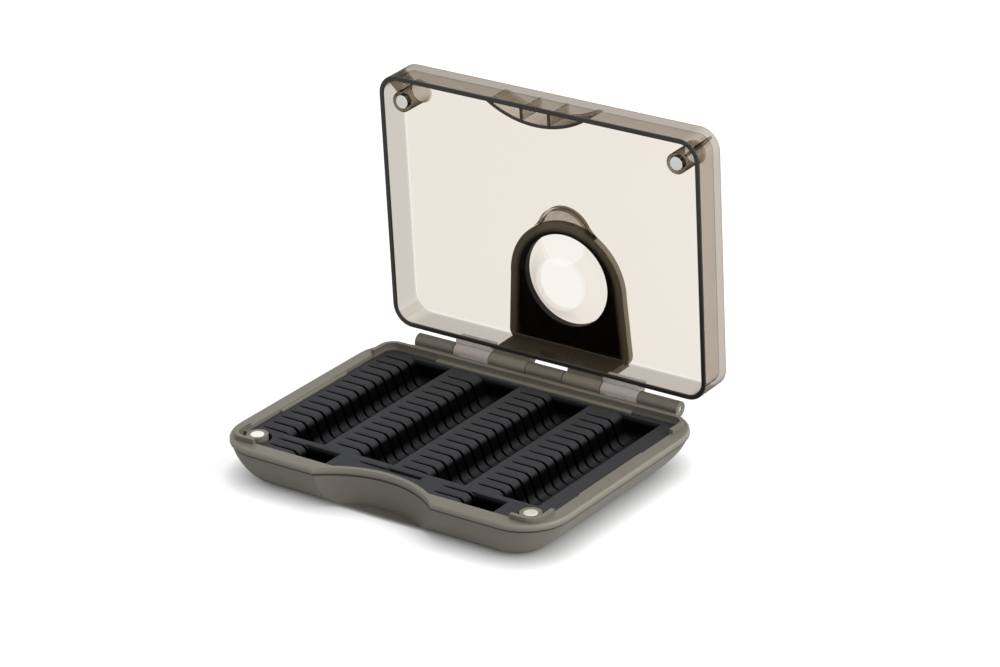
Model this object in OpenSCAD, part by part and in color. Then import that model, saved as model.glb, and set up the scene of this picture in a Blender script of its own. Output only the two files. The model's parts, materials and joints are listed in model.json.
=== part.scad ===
// Pocket fly box: a shallow tray with a slotted insert, a clear hinged lid held shut by
// magnets, and a hang tab that turns on the same hinge pin.
// The origin is at the centre of the tray's underside. X runs along the hinge, Y towards it
// and Z up. The lid is drawn open, as far as its stop, with the tab parked against it.

/* [Tray] */
// Width over the flange, along the hinge
tray_w = 115.5; // [100:0.5:140]
// Depth over the flange, front to rear
tray_d = 85; // [78:0.5:100]
// Height from the underside to the flange top
tray_h = 12.4; // [11.5:0.1:16]
// Corner radius of the flange in plan
tray_corner = 14; // [10:0.5:16]
// Thickness of the flange
flange_t = 1.7; // [1.2:0.1:2.4]
// Width of the flange, from its outer edge to the mouth
flange_w = 4.7; // [4:0.1:6]
// Rounding of the flange's outer edge
flange_round = 0.9; // [0.3:0.1:1.1]
// Inward step of the wall below the flange
wall_step = 0.5; // [0.3:0.1:1.2]
// How far the sides run in under the tray
side_sweep = 9.5; // [6:0.5:12]
// Fullness of the sides' curve, from a plain slope at 1 to an ellipse at 2
side_curve = 1.3; // [1.1:0.1:2.4]
// How far the front runs in under the tray
front_sweep = 8.5; // [6:0.5:10]
// Fullness of the front's curve
front_curve = 2.3; // [1.6:0.1:2.6]
// How far the rear runs in under the tray
rear_sweep = 10; // [6:0.5:10]
// Fullness of the rear's curve
rear_curve = 1.4; // [1.3:0.1:2.4]
// Wall thickness of the tray
tray_wall = 1.5; // [1.2:0.1:2]
// Floor thickness of the tray
floor_t = 1.4; // [1:0.1:2]

/* [Locating rim] */
// Height of the rim above the flange
rim_h = 1.4; // [0.8:0.1:1.8]
// Thickness of the rim
rim_t = 1.2; // [0.8:0.1:1.4]
// Gap between the rim and the inside of the closed lid
rim_gap = 0.5; // [0.3:0.1:0.9]
// Length of the rim's legs along the front and the sides
rim_leg = 9; // [7:0.5:12]

/* [Thumb scoop] */
// Radius of the scoop in plan
scoop_r = 31.9; // [26:0.1:36]
// Depth of the scoop behind the flange's front edge
scoop_depth = 7.7; // [6:0.1:9]
// Thickness of the ledge under the scoop
scoop_ledge = 1.2; // [0.8:0.1:2]

/* [Insert] */
// Drop of the insert's top below the flange top
insert_drop = 1; // [0.6:0.1:2]
// Gap between the insert and the tray walls
insert_gap = 0.3; // [0.2:0.05:0.6]
// Number of long troughs
trough_count = 4; // [2:1:4]
// Distance from the mouth's left edge to the first trough
trough_margin = 9.5; // [8.5:0.1:11]
// Distance from one trough to the next
trough_pitch = 24.85; // [22:0.05:25]
// Width of a trough at the top
trough_w = 15; // [12:0.1:16]
// Depth of the troughs and pockets
trough_depth = 7.5; // [5:0.1:7.6]
// Radius of the rounded left shoulder of a trough
shoulder_r = 2.8; // [2:0.1:3]
// Radius of the hollow foot below that shoulder
foot_r = 3.3; // [1:0.1:3.6]
// Distance from the insert's rear edge to the troughs
trough_rear = 1.8; // [1.6:0.1:4]
// Distance from the mouth's front edge to the troughs
trough_front = 11.3; // [10:0.1:14]
// Distance from one slit to the next
slit_pitch = 4.15; // [3:0.05:6]
// Width of a slit
slit_w = 0.5; // [0.3:0.05:1]
// Depth of a slit
slit_depth = 6.4; // [2:0.1:6.5]
// Length of a slit over the land at the left of a trough
slit_len = 7.6; // [4:0.1:8]
// Distance from one front pocket to the next
pocket_pitch = 29.2; // [26:0.1:31]
// Width of a front pocket
pocket_w = 13; // [10:0.1:14]
// Width of the land between the troughs and the pockets
pocket_land = 2.3; // [1.5:0.1:4]
// Width of the land in front of the pockets
pocket_front = 1.6; // [1:0.1:3]
// Radius of a pocket's rounded left shoulder
pocket_shoulder_r = 2.5; // [1:0.1:3]
// Thickness of the keeper ribs over the insert's edge
keeper_h = 0.55; // [0.3:0.05:0.7]
// Reach of the rear keeper rib over the insert
keeper_reach = 1.4; // [0.8:0.1:2]
// Length of the rear keeper rib
keeper_rear_len = 69.6; // [40:0.1:76]
// Length of each side keeper rib
keeper_side_len = 31; // [20:0.5:40]

/* [Magnets] */
// Diameter of a magnet
magnet_d = 4.2; // [3:0.1:4.6]
// Thickness of a magnet
magnet_t = 2; // [1.5:0.1:3]
// Distance of a magnet from the flange's outer edges
magnet_inset = 9.8; // [9:0.1:11]
// Radius of the bosses and posts that hold the magnets
post_r = 3.2; // [2.9:0.1:3.4]
// Gap between the magnets of the closed box
magnet_gap = 0.25; // [0.15:0.05:0.5]

/* [Lid] */
// Setback of the closed lid from the flange's outer edge
lid_setback = 1.9; // [1.5:0.1:2.4]
// Height of the lid from its rim to its outer face
lid_h = 11.6; // [9:0.1:18]
// Wall thickness of the lid
lid_wall = 1.5; // [1.2:0.1:1.8]
// Thickness of the lid's panel
lid_panel = 1.4; // [1.2:0.1:2]
// Corner radius of the lid in plan
lid_corner = 6.5; // [5:0.1:8]
// Rounding of the lid's outer edge
lid_round = 0.8; // [0.3:0.1:1.1]
// Gap between the closed lid and the flange
seat_gap = 0.15; // [0.1:0.05:0.3]
// Angle of the open lid from closed
open_angle = 88.34; // [60:0.01:90]
// Thickness of the thumb wall inside the lid's front
thumb_wall = 1; // [0.8:0.1:1.4]
// Distance of the thumb wall's ribs from the centre
thumb_rib = 4.8; // [3:0.1:8]
// Thickness of the ribs in the lid
rib_t = 0.8; // [0.6:0.1:1.2]
// Depth of the round dish in the lid's panel
dish_depth = 1.7; // [1:0.1:2.2]
// Radius of the dish at the lid's outer face
dish_r = 13.4; // [10:0.1:14]
// Radius of the dish's flat floor
dish_floor_r = 8.4; // [6:0.1:9]
// Radius of the thumb rest beyond the tab's tip
rest_r = 9.3; // [7:0.1:11]
// Height of the thumb rest's curb
rest_h = 1.9; // [1:0.1:2.2]
// Thickness of the thumb rest's curb
rest_wall = 0.9; // [0.7:0.1:1.4]
// Depth of the shallow dish inside the thumb rest
rest_dish = 0.5; // [0.2:0.1:0.7]
// Width that the thumb rest gains on each side where it meets the tab
rest_flare = 3.2; // [2:0.1:4]

/* [Hinge] */
// Distance of the hinge axis behind the flange
axis_back = 1.9; // [1.8:0.1:2.6]
// Height of the hinge axis above the flange top
axis_up = 0.34; // [0:0.02:0.6]
// Radius of the knuckles
knuckle_r = 2.3; // [2:0.1:2.6]
// Diameter of the hinge pin
pin_d = 1.8; // [1.4:0.1:2.2]
// Radial clearance of the pin in the knuckles
pin_clear = 0.05; // [0.02:0.01:0.1]
// Half length of the tray's middle knuckle
knuckle_a = 6.6; // [5:0.1:8]
// Outer end of the tab's knuckles
knuckle_b = 20; // [17:0.1:22]
// Outer end of the lid's knuckles
knuckle_c = 33; // [29:0.1:36]
// Outer end of the tray's side knuckles
knuckle_d = 47; // [42:0.1:48]
// Gap between neighbouring knuckles
knuckle_gap = 0.3; // [0.2:0.05:0.5]
// Depth of a side gusset under a tray knuckle
gusset_h = 5; // [3:0.1:6]

/* [Hang tab] */
// Thickness of the tab
tab_t = 2.1; // [1.6:0.1:2.6]
// Gap between the parked tab and the lid
tab_gap = 0.35; // [0.3:0.05:0.6]
// Radius of the tab's round tip
tab_r = 20; // [18:0.1:22]
// Distance of the round tip's centre from the lid's rear
tab_reach = 20; // [17:0.1:24]
// Half width of the tab at the lid's rear
tab_half = 21.4; // [20:0.1:23]
// Radius of the tab's rear corners
tab_corner = 4; // [2:0.1:6]
// Radius of the tab's hole
hole_r = 14.6; // [12:0.1:16]
// Distance of the hole's centre from the lid's rear
hole_reach = 21.8; // [19:0.1:24]
// Height of the notch between the tab's knuckles
notch_h = 5.6; // [4:0.1:8]
// Width of the bare border round the tab's pad
pad_border = 3.7; // [3:0.1:4]
// Thickness of the pad inlaid in the tab's inner face
pad_t = 0.7; // [0.4:0.1:1]

/* [Hidden] */

$fn = 64;
eps = 0.01;
hull_fn = 32;
level_h = 0.1;
bore_overrun = 1;
ring_fn = 96;

olive = [0.36, 0.35, 0.31];
smoke = [0.62, 0.57, 0.52, 0.45];
black = [0.13, 0.13, 0.135];
steel = [0.75, 0.74, 0.72];
nickel = [0.82, 0.80, 0.76];

// Height at which the tray's walls start to curve inward
belly_top = tray_h - flange_t - 0.7;
mouth_corner = 4.1;
mouth_w = tray_w - 2 * flange_w;
mouth_front = flange_w - tray_d / 2;
scoop_y = scoop_depth - tray_d / 2 - scoop_r;

lid_w = tray_w - 2 * lid_setback;
lid_d = tray_d - 2 * lid_setback;
lid_z = tray_h + seat_gap;
lid_rear = lid_d / 2;
lid_inner_w = lid_w - 2 * lid_wall;
lid_inner_d = lid_d - 2 * lid_wall;
lid_inner_corner = lid_corner - lid_wall;
lid_face = lid_z + lid_h;
panel_under = lid_face - lid_panel;

rim_w = lid_inner_w - 2 * rim_gap;
rim_d = lid_inner_d - 2 * rim_gap;
rim_corner = lid_inner_corner - rim_gap;
rim_inner_rear = rim_d / 2 - rim_t;
rim_foot = flange_t;

axis_y = tray_d / 2 + axis_back;
axis_z = tray_h + axis_up;
bore_r = pin_d / 2 + pin_clear;
knuckle_relief = knuckle_r + 0.35;

insert_top = tray_h - insert_drop;
trough_floor = insert_top - trough_depth;
trough_y0 = mouth_front + trough_front;
insert_rear = rim_inner_rear - insert_gap;
trough_y1 = insert_rear - trough_rear;
first_trough = trough_margin - mouth_w / 2;
slit_rear_land = 1.6;
slit_row_shift = slit_pitch / 2;
slit_first = 0.8;
pocket_y1 = trough_y0 - pocket_land;
pocket_y0 = mouth_front + pocket_front;
pocket_side_y = [pocket_y0, scoop_y + scoop_r + tray_wall + insert_gap + 2.6, pocket_y0];
pocket_centre = 1.7;
boss_clear = 1;

magnet_x = tray_w / 2 - magnet_inset;
magnet_y = magnet_inset - tray_d / 2;
magnet_r = magnet_d / 2;
magnet_bore = magnet_r + 0.05;
boss_top = tray_h + 0.15;
post_end = boss_top + magnet_gap;

dish_y = lid_rear - hole_reach;
tip_y = lid_rear - tab_reach;
rest_y = tip_y - tab_r + rest_r - 5.2;
tip_room_r = tab_r + tab_gap;
flare_x = 0.85 * rest_r + rest_flare;
flare_y = tip_y - sqrt(pow(tip_room_r, 2) - pow(flare_x, 2)) + 1;
tab_inner_y = lid_rear + tab_gap;
tab_outer_y = tab_inner_y + tab_t;
tab_inner_z = lid_face + tab_gap;
tab_outer_z = tab_inner_z + tab_t;
tab_foot = tray_h + 1.5;
pad_ring = 0.6;
pad_corner = 2;
pad_gap = 0.05;

// How far a curved wall has run in at height z, for a sweep of run and a fullness of curve
function swept(z, run, curve) =
    z >= belly_top ? 0
    : run * (1 - pow(1 - pow((belly_top - z) / belly_top, curve), 1 / curve));

// Height of step i of steps on a curved wall that starts at z_low
function step_z(i, steps, z_low) = z_low + (belly_top - z_low) * pow(i / steps, 1.6);

// A flat plate with round corners, centred in plan
module round_plate(w, d, r, h) {
    linear_extrude(h) {
        square([w - 2 * r, d], center = true);
        square([w, d - 2 * r], center = true);
        for (x = [-1, 1], y = [-1, 1])
            translate([x * (w / 2 - r), y * (d / 2 - r)]) circle(r);
    }
}

// Round posts at the four corners of one level of a hull
module corner_posts(w, d, r, z, h = level_h) {
    for (x = [-1, 1], y = [-1, 1])
        translate([x * (w / 2 - r), y * (d / 2 - r), z])
            cylinder(h = h, r = r, $fn = hull_fn);
}

// A plate with round corners whose upper outer edge is rounded by edge
module soft_plate(w, d, r, h, edge) {
    hull() {
        corner_posts(w, d, r, 0, h - edge);
        for (a = [30, 60, 90]) {
            cut = edge * (1 - cos(a));
            corner_posts(w - 2 * cut, d - 2 * cut, r - cut, h - edge * (1 - sin(a)) - level_h);
        }
    }
}

// The tray's boat-shaped body, drawn in from its outer surface by shrink
module boat(shrink, z_low, z_high, steps = 7) {
    inset = wall_step + shrink;
    hull() {
        corner_posts(tray_w - 2 * inset, tray_d - 2 * inset, tray_corner - inset, belly_top,
            z_high - belly_top);
        for (i = [0:steps - 1]) {
            z = step_z(i, steps, z_low);
            side = inset + swept(z, side_sweep, side_curve);
            front = inset + swept(z, front_sweep, front_curve);
            rear = inset + swept(z, rear_sweep, rear_curve);
            translate([0, (front - rear) / 2, 0])
                corner_posts(tray_w - 2 * side, tray_d - front - rear, max(tray_corner - front, 3), z);
        }
    }
}

module scoop_cylinder(r, z, h) {
    translate([0, scoop_y, z]) cylinder(h = h, r = r, $fn = ring_fn);
}

// A cylinder along X between two places on the hinge axis
module axis_cylinder(x0, x1, r) {
    translate([x0, axis_y, axis_z]) rotate([0, 90, 0]) cylinder(h = x1 - x0, r = r);
}

// An outline in Y and Z, extruded from x0 to x1
module along_x(x0, x1) {
    translate([x0, 0, 0]) rotate([90, 0, 90]) linear_extrude(x1 - x0) children();
}

module both_sides() {
    children();
    mirror([1, 0, 0]) children();
}

// Turns the closed lid and what rides on it to the open position
module opened() {
    translate([0, axis_y, axis_z]) rotate([-open_angle, 0, 0])
        translate([0, -axis_y, -axis_z]) children();
}

// The raised rim: all of the rear edge, and short legs at the front corners
module locating_rim() {
    difference() {
        translate([0, 0, tray_h - rim_foot])
            round_plate(rim_w, rim_d, rim_corner, rim_h + rim_foot);
        translate([0, 0, tray_h - rim_foot - eps])
            round_plate(rim_w - 2 * rim_t, rim_d - 2 * rim_t, rim_corner - rim_t,
                rim_h + rim_foot + 2 * eps);
        for (x = [-1, 1])
            translate([x * rim_w / 2, 0, tray_h])
                cube([4 * rim_t, rim_d - 2 * rim_leg, 2 * rim_h + 4 * rim_foot], center = true);
        translate([0, -rim_d / 2, tray_h])
            cube([rim_w - 2 * rim_leg, 4 * rim_t, 2 * rim_h + 4 * rim_foot], center = true);
    }
}

// Low ribs that hold the insert down along the rear and the sides
module keeper_ribs() {
    z = insert_top + 0.05;
    translate([-keeper_rear_len / 2, rim_inner_rear - keeper_reach, z])
        cube([keeper_rear_len, keeper_reach + rim_t, keeper_h]);
    both_sides()
        translate([mouth_w / 2 - 0.8, -keeper_side_len / 2, z])
            cube([0.8 + tray_wall, keeper_side_len, keeper_h]);
}

// A boss that stands on the floor and merges into the tray's corner
module magnet_boss() {
    intersection() {
        translate([magnet_x, magnet_y, floor_t - eps]) cylinder(h = boss_top - floor_t, r = post_r);
        boat(tray_wall / 2, 0, boss_top + 1, 4);
    }
    // Webs from the boss to the rim's two legs
    translate([magnet_x - rib_t / 2, -rim_d / 2 + rim_t / 2, insert_top])
        cube([rib_t, magnet_y + rim_d / 2 - post_r / 2, boss_top - insert_top]);
    translate([magnet_x + post_r / 2, magnet_y - rib_t / 2, insert_top])
        cube([rim_w / 2 - magnet_x - post_r / 2 - rim_t / 2, rib_t, boss_top - insert_top]);
}

// Side view of a tray knuckle's gusset: it runs down into the rear wall
module gusset_outline() {
    polygon([
        [tray_d / 2 - wall_step - 2, axis_z - gusset_h],
        [axis_y + knuckle_r * cos(35), axis_z - knuckle_r * sin(35)],
        [axis_y, axis_z],
        [tray_d / 2 - wall_step - 2, tray_h - flange_t / 2]
    ]);
}

module tray_knuckle(x0, x1) {
    a = x0 + knuckle_gap / 2;
    b = x1 - knuckle_gap / 2;
    axis_cylinder(a, b, knuckle_r);
    along_x(a, b) gusset_outline();
}

module base_tray() {
    color(olive)
    difference() {
        union() {
            difference() {
                union() {
                    boat(0, 0, tray_h - flange_t + eps);
                    translate([0, 0, tray_h - flange_t])
                        soft_plate(tray_w, tray_d, tray_corner, flange_t, flange_round);
                }
                difference() {
                    union() {
                        boat(tray_wall, floor_t, tray_h - flange_t);
                        translate([0, (rim_inner_rear + mouth_front) / 2, tray_h - flange_t - eps])
                            round_plate(mouth_w, rim_inner_rear - mouth_front, mouth_corner,
                                flange_t + 1);
                    }
                    scoop_cylinder(scoop_r + tray_wall, -1, tray_h + 2);
                }
                scoop_cylinder(scoop_r, scoop_ledge, tray_h);
            }
            locating_rim();
            keeper_ribs();
            both_sides() magnet_boss();
            tray_knuckle(-knuckle_a, knuckle_a);
            both_sides() tray_knuckle(knuckle_c, knuckle_d);
        }
        // Room for the knuckles of the lid and the tab
        both_sides()
            axis_cylinder(knuckle_a - knuckle_gap / 2, knuckle_c + knuckle_gap / 2, knuckle_relief);
        axis_cylinder(-knuckle_d - bore_overrun, knuckle_d + bore_overrun, bore_r);
        both_sides()
            translate([magnet_x, magnet_y, boss_top - magnet_t])
                cylinder(h = magnet_t + bore_overrun, r = magnet_bore);
    }
}

// Cross-section of a trough in X and Z: a rounded shoulder at the left with a hollow foot
// below it, and a plain wall at the right. The shoulder's circle rises a little over the top
// and the foot's dips a little under the floor, so that both cross their planes at an angle.
module trough_outline(w, r) {
    rise = 0.04;
    out = sqrt(2 * r * rise - rise * rise);
    channel_x = r - out;
    foot = min(foot_r, trough_depth - r);
    difference() {
        translate([-out / 2, trough_floor]) square([w + out / 2, trough_depth + 1]);
        translate([-out, insert_top - r + rise]) circle(r);
        translate([-out, trough_floor - 1]) square([r, trough_depth - r + rise + 1]);
        difference() {
            translate([channel_x - 0.5, trough_floor - 1]) square([foot + 0.5, foot - rise + 1]);
            translate([channel_x + foot, trough_floor + foot - rise]) circle(foot);
        }
    }
}

module trough(x, y0, y1) {
    translate([x, y1, 0]) rotate([90, 0, 0]) linear_extrude(y1 - y0)
        trough_outline(trough_w, shoulder_r);
}

module slit(x0, x1, y) {
    depth = min(slit_depth, trough_depth - 0.5);
    translate([x0, y - slit_w / 2, insert_top - depth]) cube([x1 - x0, slit_w, depth + 1]);
}

// The slits through the left shoulder and foot of trough number i
module slit_row(i) {
    x = first_trough + i * trough_pitch;
    y_first = trough_y0 + slit_first + (i % 2) * slit_row_shift;
    for (y = [y_first : slit_pitch : trough_y1 - slit_rear_land])
        slit(x - slit_len, x + shoulder_r + foot_r, y);
}

// Cross-section of a front pocket in X and Z, with a rounded left shoulder
module pocket_outline(r) {
    rise = 0.08;
    out = sqrt(2 * r * rise - rise * rise);
    difference() {
        translate([-out / 2, trough_floor]) square([pocket_w + out / 2, trough_depth + 1]);
        translate([-out, insert_top - r + rise]) circle(r);
        translate([-out, trough_floor - 1]) square([r, trough_depth - r + rise + 1]);
    }
}

// Front pocket number i, with slits over its left shoulder
module pocket(i) {
    x = pocket_centre + (i - 1) * pocket_pitch - pocket_w / 2;
    y0 = pocket_side_y[i];
    translate([x, pocket_y1, 0]) rotate([90, 0, 0]) linear_extrude(pocket_y1 - y0)
        pocket_outline(pocket_shoulder_r);
    for (y = [pocket_y1 - 0.9 : -slit_pitch : y0 + 0.5])
        slit(x - slit_len - 1, x + pocket_shoulder_r + eps, y);
}

module slotted_insert() {
    color(black)
    difference() {
        intersection() {
            boat(tray_wall + insert_gap, floor_t, insert_top, 3);
            translate([-mouth_w / 2 + insert_gap, mouth_front + insert_gap, 0])
                cube([mouth_w - 2 * insert_gap, insert_rear - mouth_front - insert_gap, tray_h]);
        }
        scoop_cylinder(scoop_r + tray_wall + insert_gap, -1, tray_h + 2);
        for (i = [0:trough_count - 1]) {
            trough(first_trough + i * trough_pitch, trough_y0, trough_y1);
            slit_row(i);
        }
        for (i = [0:2]) pocket(i);
        // Room for the magnet bosses and the flange's front corners
        both_sides() {
            translate([magnet_x, magnet_y, 0]) cylinder(h = tray_h, r = post_r + boss_clear);
            translate([magnet_x, -tray_d / 2, 0])
                cube([tray_w / 2, magnet_y + tray_d / 2, tray_h]);
        }
    }
}

// Side view of a lid knuckle's arm, from the lid's rear wall over the flange
module arm_outline() {
    polygon([
        [lid_rear - lid_wall / 2, lid_z],
        [axis_y, lid_z],
        [axis_y, axis_z + knuckle_r - eps],
        [lid_rear - lid_wall / 2, axis_z + knuckle_r + 1.4]
    ]);
}

module lid_knuckle() {
    a = knuckle_b + knuckle_gap / 2;
    b = knuckle_c - knuckle_gap / 2;
    axis_cylinder(a, b, knuckle_r);
    along_x(a, b) arm_outline();
}

module lid_shell() {
    difference() {
        translate([0, 0, lid_z]) soft_plate(lid_w, lid_d, lid_corner, lid_h, lid_round);
        translate([0, 0, lid_z - eps])
            round_plate(lid_inner_w, lid_inner_d, lid_inner_corner, lid_h - lid_panel + eps);
    }
}

// The curved wall behind the thumb scoop, with its two ribs
module thumb_pocket() {
    h = panel_under - lid_z + eps;
    intersection() {
        translate([0, 0, lid_z]) round_plate(lid_w - lid_wall, lid_d - lid_wall, lid_corner, h);
        union() {
            difference() {
                scoop_cylinder(scoop_r + thumb_wall / 2, lid_z, h);
                scoop_cylinder(scoop_r - thumb_wall / 2, lid_z - eps, h + 2 * eps);
            }
            difference() {
                both_sides()
                    translate([thumb_rib - rib_t / 2, -lid_d / 2, lid_z])
                        cube([rib_t, scoop_depth, h]);
                difference() {
                    translate([-lid_w / 2, -lid_d / 2, lid_z - eps])
                        cube([lid_w, lid_d, h + 2 * eps]);
                    scoop_cylinder(scoop_r, lid_z - 2 * eps, h + 4 * eps);
                }
            }
        }
    }
}

module lid_post() {
    translate([magnet_x, magnet_y, post_end])
        cylinder(h = panel_under - post_end + eps, r = post_r);
    // Web from the post into the lid's corner, clear of the tray's rim
    translate([magnet_x, magnet_y, lid_z + rim_h + rim_gap]) rotate([0, 0, -45])
        translate([0, -rib_t / 2, 0])
            cube([(lid_inner_w / 2 - magnet_x) * sqrt(2) - 1.2, rib_t,
                panel_under - lid_z - rim_h - rim_gap + eps]);
}

// Plan of the thumb rest: a circle that flares into the room round the tab's tip
module thumb_rest_plan() {
    foot_x = flare_x - rest_flare;
    translate([0, rest_y]) circle(rest_r);
    polygon([
        [0, tip_y], [-flare_x, flare_y], [-foot_x, rest_y - 0.49 * rest_r],
        [foot_x, rest_y - 0.49 * rest_r], [flare_x, flare_y]
    ]);
}

module lid() {
    color(smoke)
    opened()
    difference() {
        union() {
            difference() {
                union() {
                    lid_shell();
                    translate([0, dish_y, panel_under - dish_depth])
                        cylinder(h = dish_depth + eps, r1 = dish_floor_r, r2 = dish_r);
                    translate([0, 0, lid_face - eps]) linear_extrude(rest_h) thumb_rest_plan();
                }
                // The dish, the thumb rest's hollow and the room for the tab's tip
                translate([0, dish_y, lid_face - dish_depth])
                    cylinder(h = dish_depth + eps, r1 = dish_floor_r - 1, r2 = dish_r - 1);
                translate([0, rest_y, lid_face - rest_dish])
                    cylinder(h = rest_h + rest_dish + 1, r = rest_r - rest_wall);
                translate([0, tip_y, lid_face]) cylinder(h = rest_h + 1, r = tip_room_r);
            }
            thumb_pocket();
            both_sides() lid_post();
            both_sides() lid_knuckle();
        }
        axis_cylinder(-knuckle_d, knuckle_d, bore_r);
        both_sides()
            translate([magnet_x, magnet_y, post_end - bore_overrun])
                cylinder(h = magnet_t + bore_overrun, r = magnet_bore);
    }
}

// Plan of the tab's plate: a round tip on slightly flared flanks
module tab_plan() {
    flank = tab_half - tab_corner;
    rear = tab_outer_y - tab_corner;
    translate([0, tip_y]) circle(tab_r, $fn = ring_fn);
    polygon([
        [-tab_r, tip_y], [-tab_half, rear], [-flank, tab_outer_y],
        [flank, tab_outer_y], [tab_half, rear], [tab_r, tip_y]
    ]);
    for (x = [-1, 1]) translate([x * flank, rear]) circle(tab_corner);
}

// The pad between the hole and the tab's rear edge, from below to above in Z, and grown by
// gap for the recess that it lies in
module pad_form(gap, below, above) {
    half = tab_half - pad_border + gap;
    end = tab_outer_y - pad_border + gap;
    difference() {
        translate([0, 0, below]) linear_extrude(above - below)
            polygon([
                [-half + 1.4, dish_y - gap], [-half, end - pad_corner],
                [-half + pad_corner, end], [half - pad_corner, end],
                [half, end - pad_corner], [half - 1.4, dish_y - gap]
            ]);
        translate([0, dish_y, below - 1])
            cylinder(h = above - below + 2, r = hole_r + pad_ring - gap, $fn = ring_fn);
    }
}

// Side view of a tab knuckle's arm, from the leg to the hinge
module tab_arm_outline() {
    polygon([
        [tab_inner_y, tab_foot],
        [axis_y, axis_z],
        [axis_y + knuckle_r * cos(20), axis_z + knuckle_r * sin(20)],
        [tab_outer_y, axis_z + knuckle_r + 1.6],
        [tab_inner_y, axis_z + knuckle_r + 1.6]
    ]);
}

module hang_tab() {
    leg_half = knuckle_b - knuckle_gap / 2;
    notch_half = knuckle_a + knuckle_gap / 2;
    color(olive)
    opened()
    difference() {
        union() {
            translate([0, 0, tab_inner_z]) linear_extrude(tab_t) tab_plan();
            // The leg down the lid's rear wall
            translate([-leg_half, tab_inner_y, tab_foot])
                cube([2 * leg_half, tab_t, tab_outer_z - tab_foot - eps]);
            both_sides() {
                axis_cylinder(notch_half, leg_half, knuckle_r);
                along_x(notch_half, leg_half) tab_arm_outline();
            }
        }
        translate([0, dish_y, tab_inner_z - 1]) cylinder(h = tab_t + 2, r = hole_r, $fn = ring_fn);
        pad_form(pad_gap, tab_inner_z - 1, tab_inner_z + pad_t + pad_gap);
        translate([-notch_half, tab_inner_y - 1, tab_foot - 1])
            cube([2 * notch_half, tab_t + 2, notch_h + 1]);
        axis_cylinder(-knuckle_d, knuckle_d, bore_r);
    }
}

module tab_pad() {
    color(black)
    opened()
    pad_form(0, tab_inner_z + pad_gap, tab_inner_z + pad_t);
}

module hinge_pin() {
    color(steel) axis_cylinder(-knuckle_d + knuckle_gap, knuckle_d - knuckle_gap, pin_d / 2);
}

module tray_magnet(side) {
    color(nickel)
    translate([side * magnet_x, magnet_y, boss_top - magnet_t]) cylinder(h = magnet_t, r = magnet_r);
}

module lid_magnet(side) {
    color(nickel)
    opened()
    translate([side * magnet_x, magnet_y, post_end]) cylinder(h = magnet_t, r = magnet_r);
}

base_tray();
slotted_insert();
lid();
hang_tab();
tab_pad();
hinge_pin();
tray_magnet(-1);  // tray_magnet_left
tray_magnet(1);  // tray_magnet_right
lid_magnet(-1);  // lid_magnet_left
lid_magnet(1);  // lid_magnet_right
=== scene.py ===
"""Looks of the pocket fly box: moulded tray, slotted insert, clear lid, hang tab and hinge.

Every length is in metres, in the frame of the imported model: X along the hinge, Y towards it,
Z up, with the origin at the centre of the tray's underside.
"""

import json
import logging
import math
from dataclasses import dataclass, field
from enum import Enum

import bmesh
import bpy
from mathutils import Matrix, Vector

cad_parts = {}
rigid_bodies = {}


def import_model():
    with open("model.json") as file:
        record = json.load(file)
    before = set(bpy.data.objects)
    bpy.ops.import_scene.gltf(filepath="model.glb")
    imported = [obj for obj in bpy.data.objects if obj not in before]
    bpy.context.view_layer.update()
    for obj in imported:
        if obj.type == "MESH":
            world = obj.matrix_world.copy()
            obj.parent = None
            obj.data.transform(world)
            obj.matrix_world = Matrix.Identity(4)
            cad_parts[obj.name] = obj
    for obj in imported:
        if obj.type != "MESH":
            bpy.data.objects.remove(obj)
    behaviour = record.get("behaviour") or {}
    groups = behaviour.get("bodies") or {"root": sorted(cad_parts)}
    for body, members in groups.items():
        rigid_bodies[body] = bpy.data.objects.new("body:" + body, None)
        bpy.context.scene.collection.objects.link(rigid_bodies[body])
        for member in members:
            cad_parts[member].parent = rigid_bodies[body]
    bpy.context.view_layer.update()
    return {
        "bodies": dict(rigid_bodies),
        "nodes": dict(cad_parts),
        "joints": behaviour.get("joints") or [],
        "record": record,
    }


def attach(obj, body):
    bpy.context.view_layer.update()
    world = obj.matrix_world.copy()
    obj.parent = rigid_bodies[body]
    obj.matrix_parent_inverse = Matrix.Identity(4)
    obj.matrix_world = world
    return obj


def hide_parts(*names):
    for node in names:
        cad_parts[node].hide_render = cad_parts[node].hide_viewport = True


LOG = logging.getLogger("fly_box")

Colour = tuple[float, float, float]
Outline = list[tuple[float, float]]
Stops = tuple[tuple[float, float], ...]

WHITE = (1.0, 1.0, 1.0)
PLASTIC_IOR = 1.5
CLEAR_IOR = 1.49
SPECK_START = 0.80  # Noise level at which dust specks begin to show.
SPECK_END = 0.9  # Noise level at which they show in full.
OUTWARD = (0.0, 0.99958, 0.02897)  # From the lid's rim to its outer face, at rest.


class Body(Enum):
    """The bodies that the pieces ride on."""

    TRAY = "tray"
    LID = "lid"
    TAB = "tab"


def srgb(red: int, green: int, blue: int) -> Colour:
    """Turns a colour given as 0 to 255 into the linear values that shaders take.

    Args:
        red: Red, 0 to 255.
        green: Green, 0 to 255.
        blue: Blue, 0 to 255.

    Returns:
        The linear red, green and blue.
    """

    def linear(value: int) -> float:
        part = value / 255
        return part / 12.92 if part <= 0.04045 else ((part + 0.055) / 1.055) ** 2.4

    return linear(red), linear(green), linear(blue)


# --- Node trees -------------------------------------------------------------------------------


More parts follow.
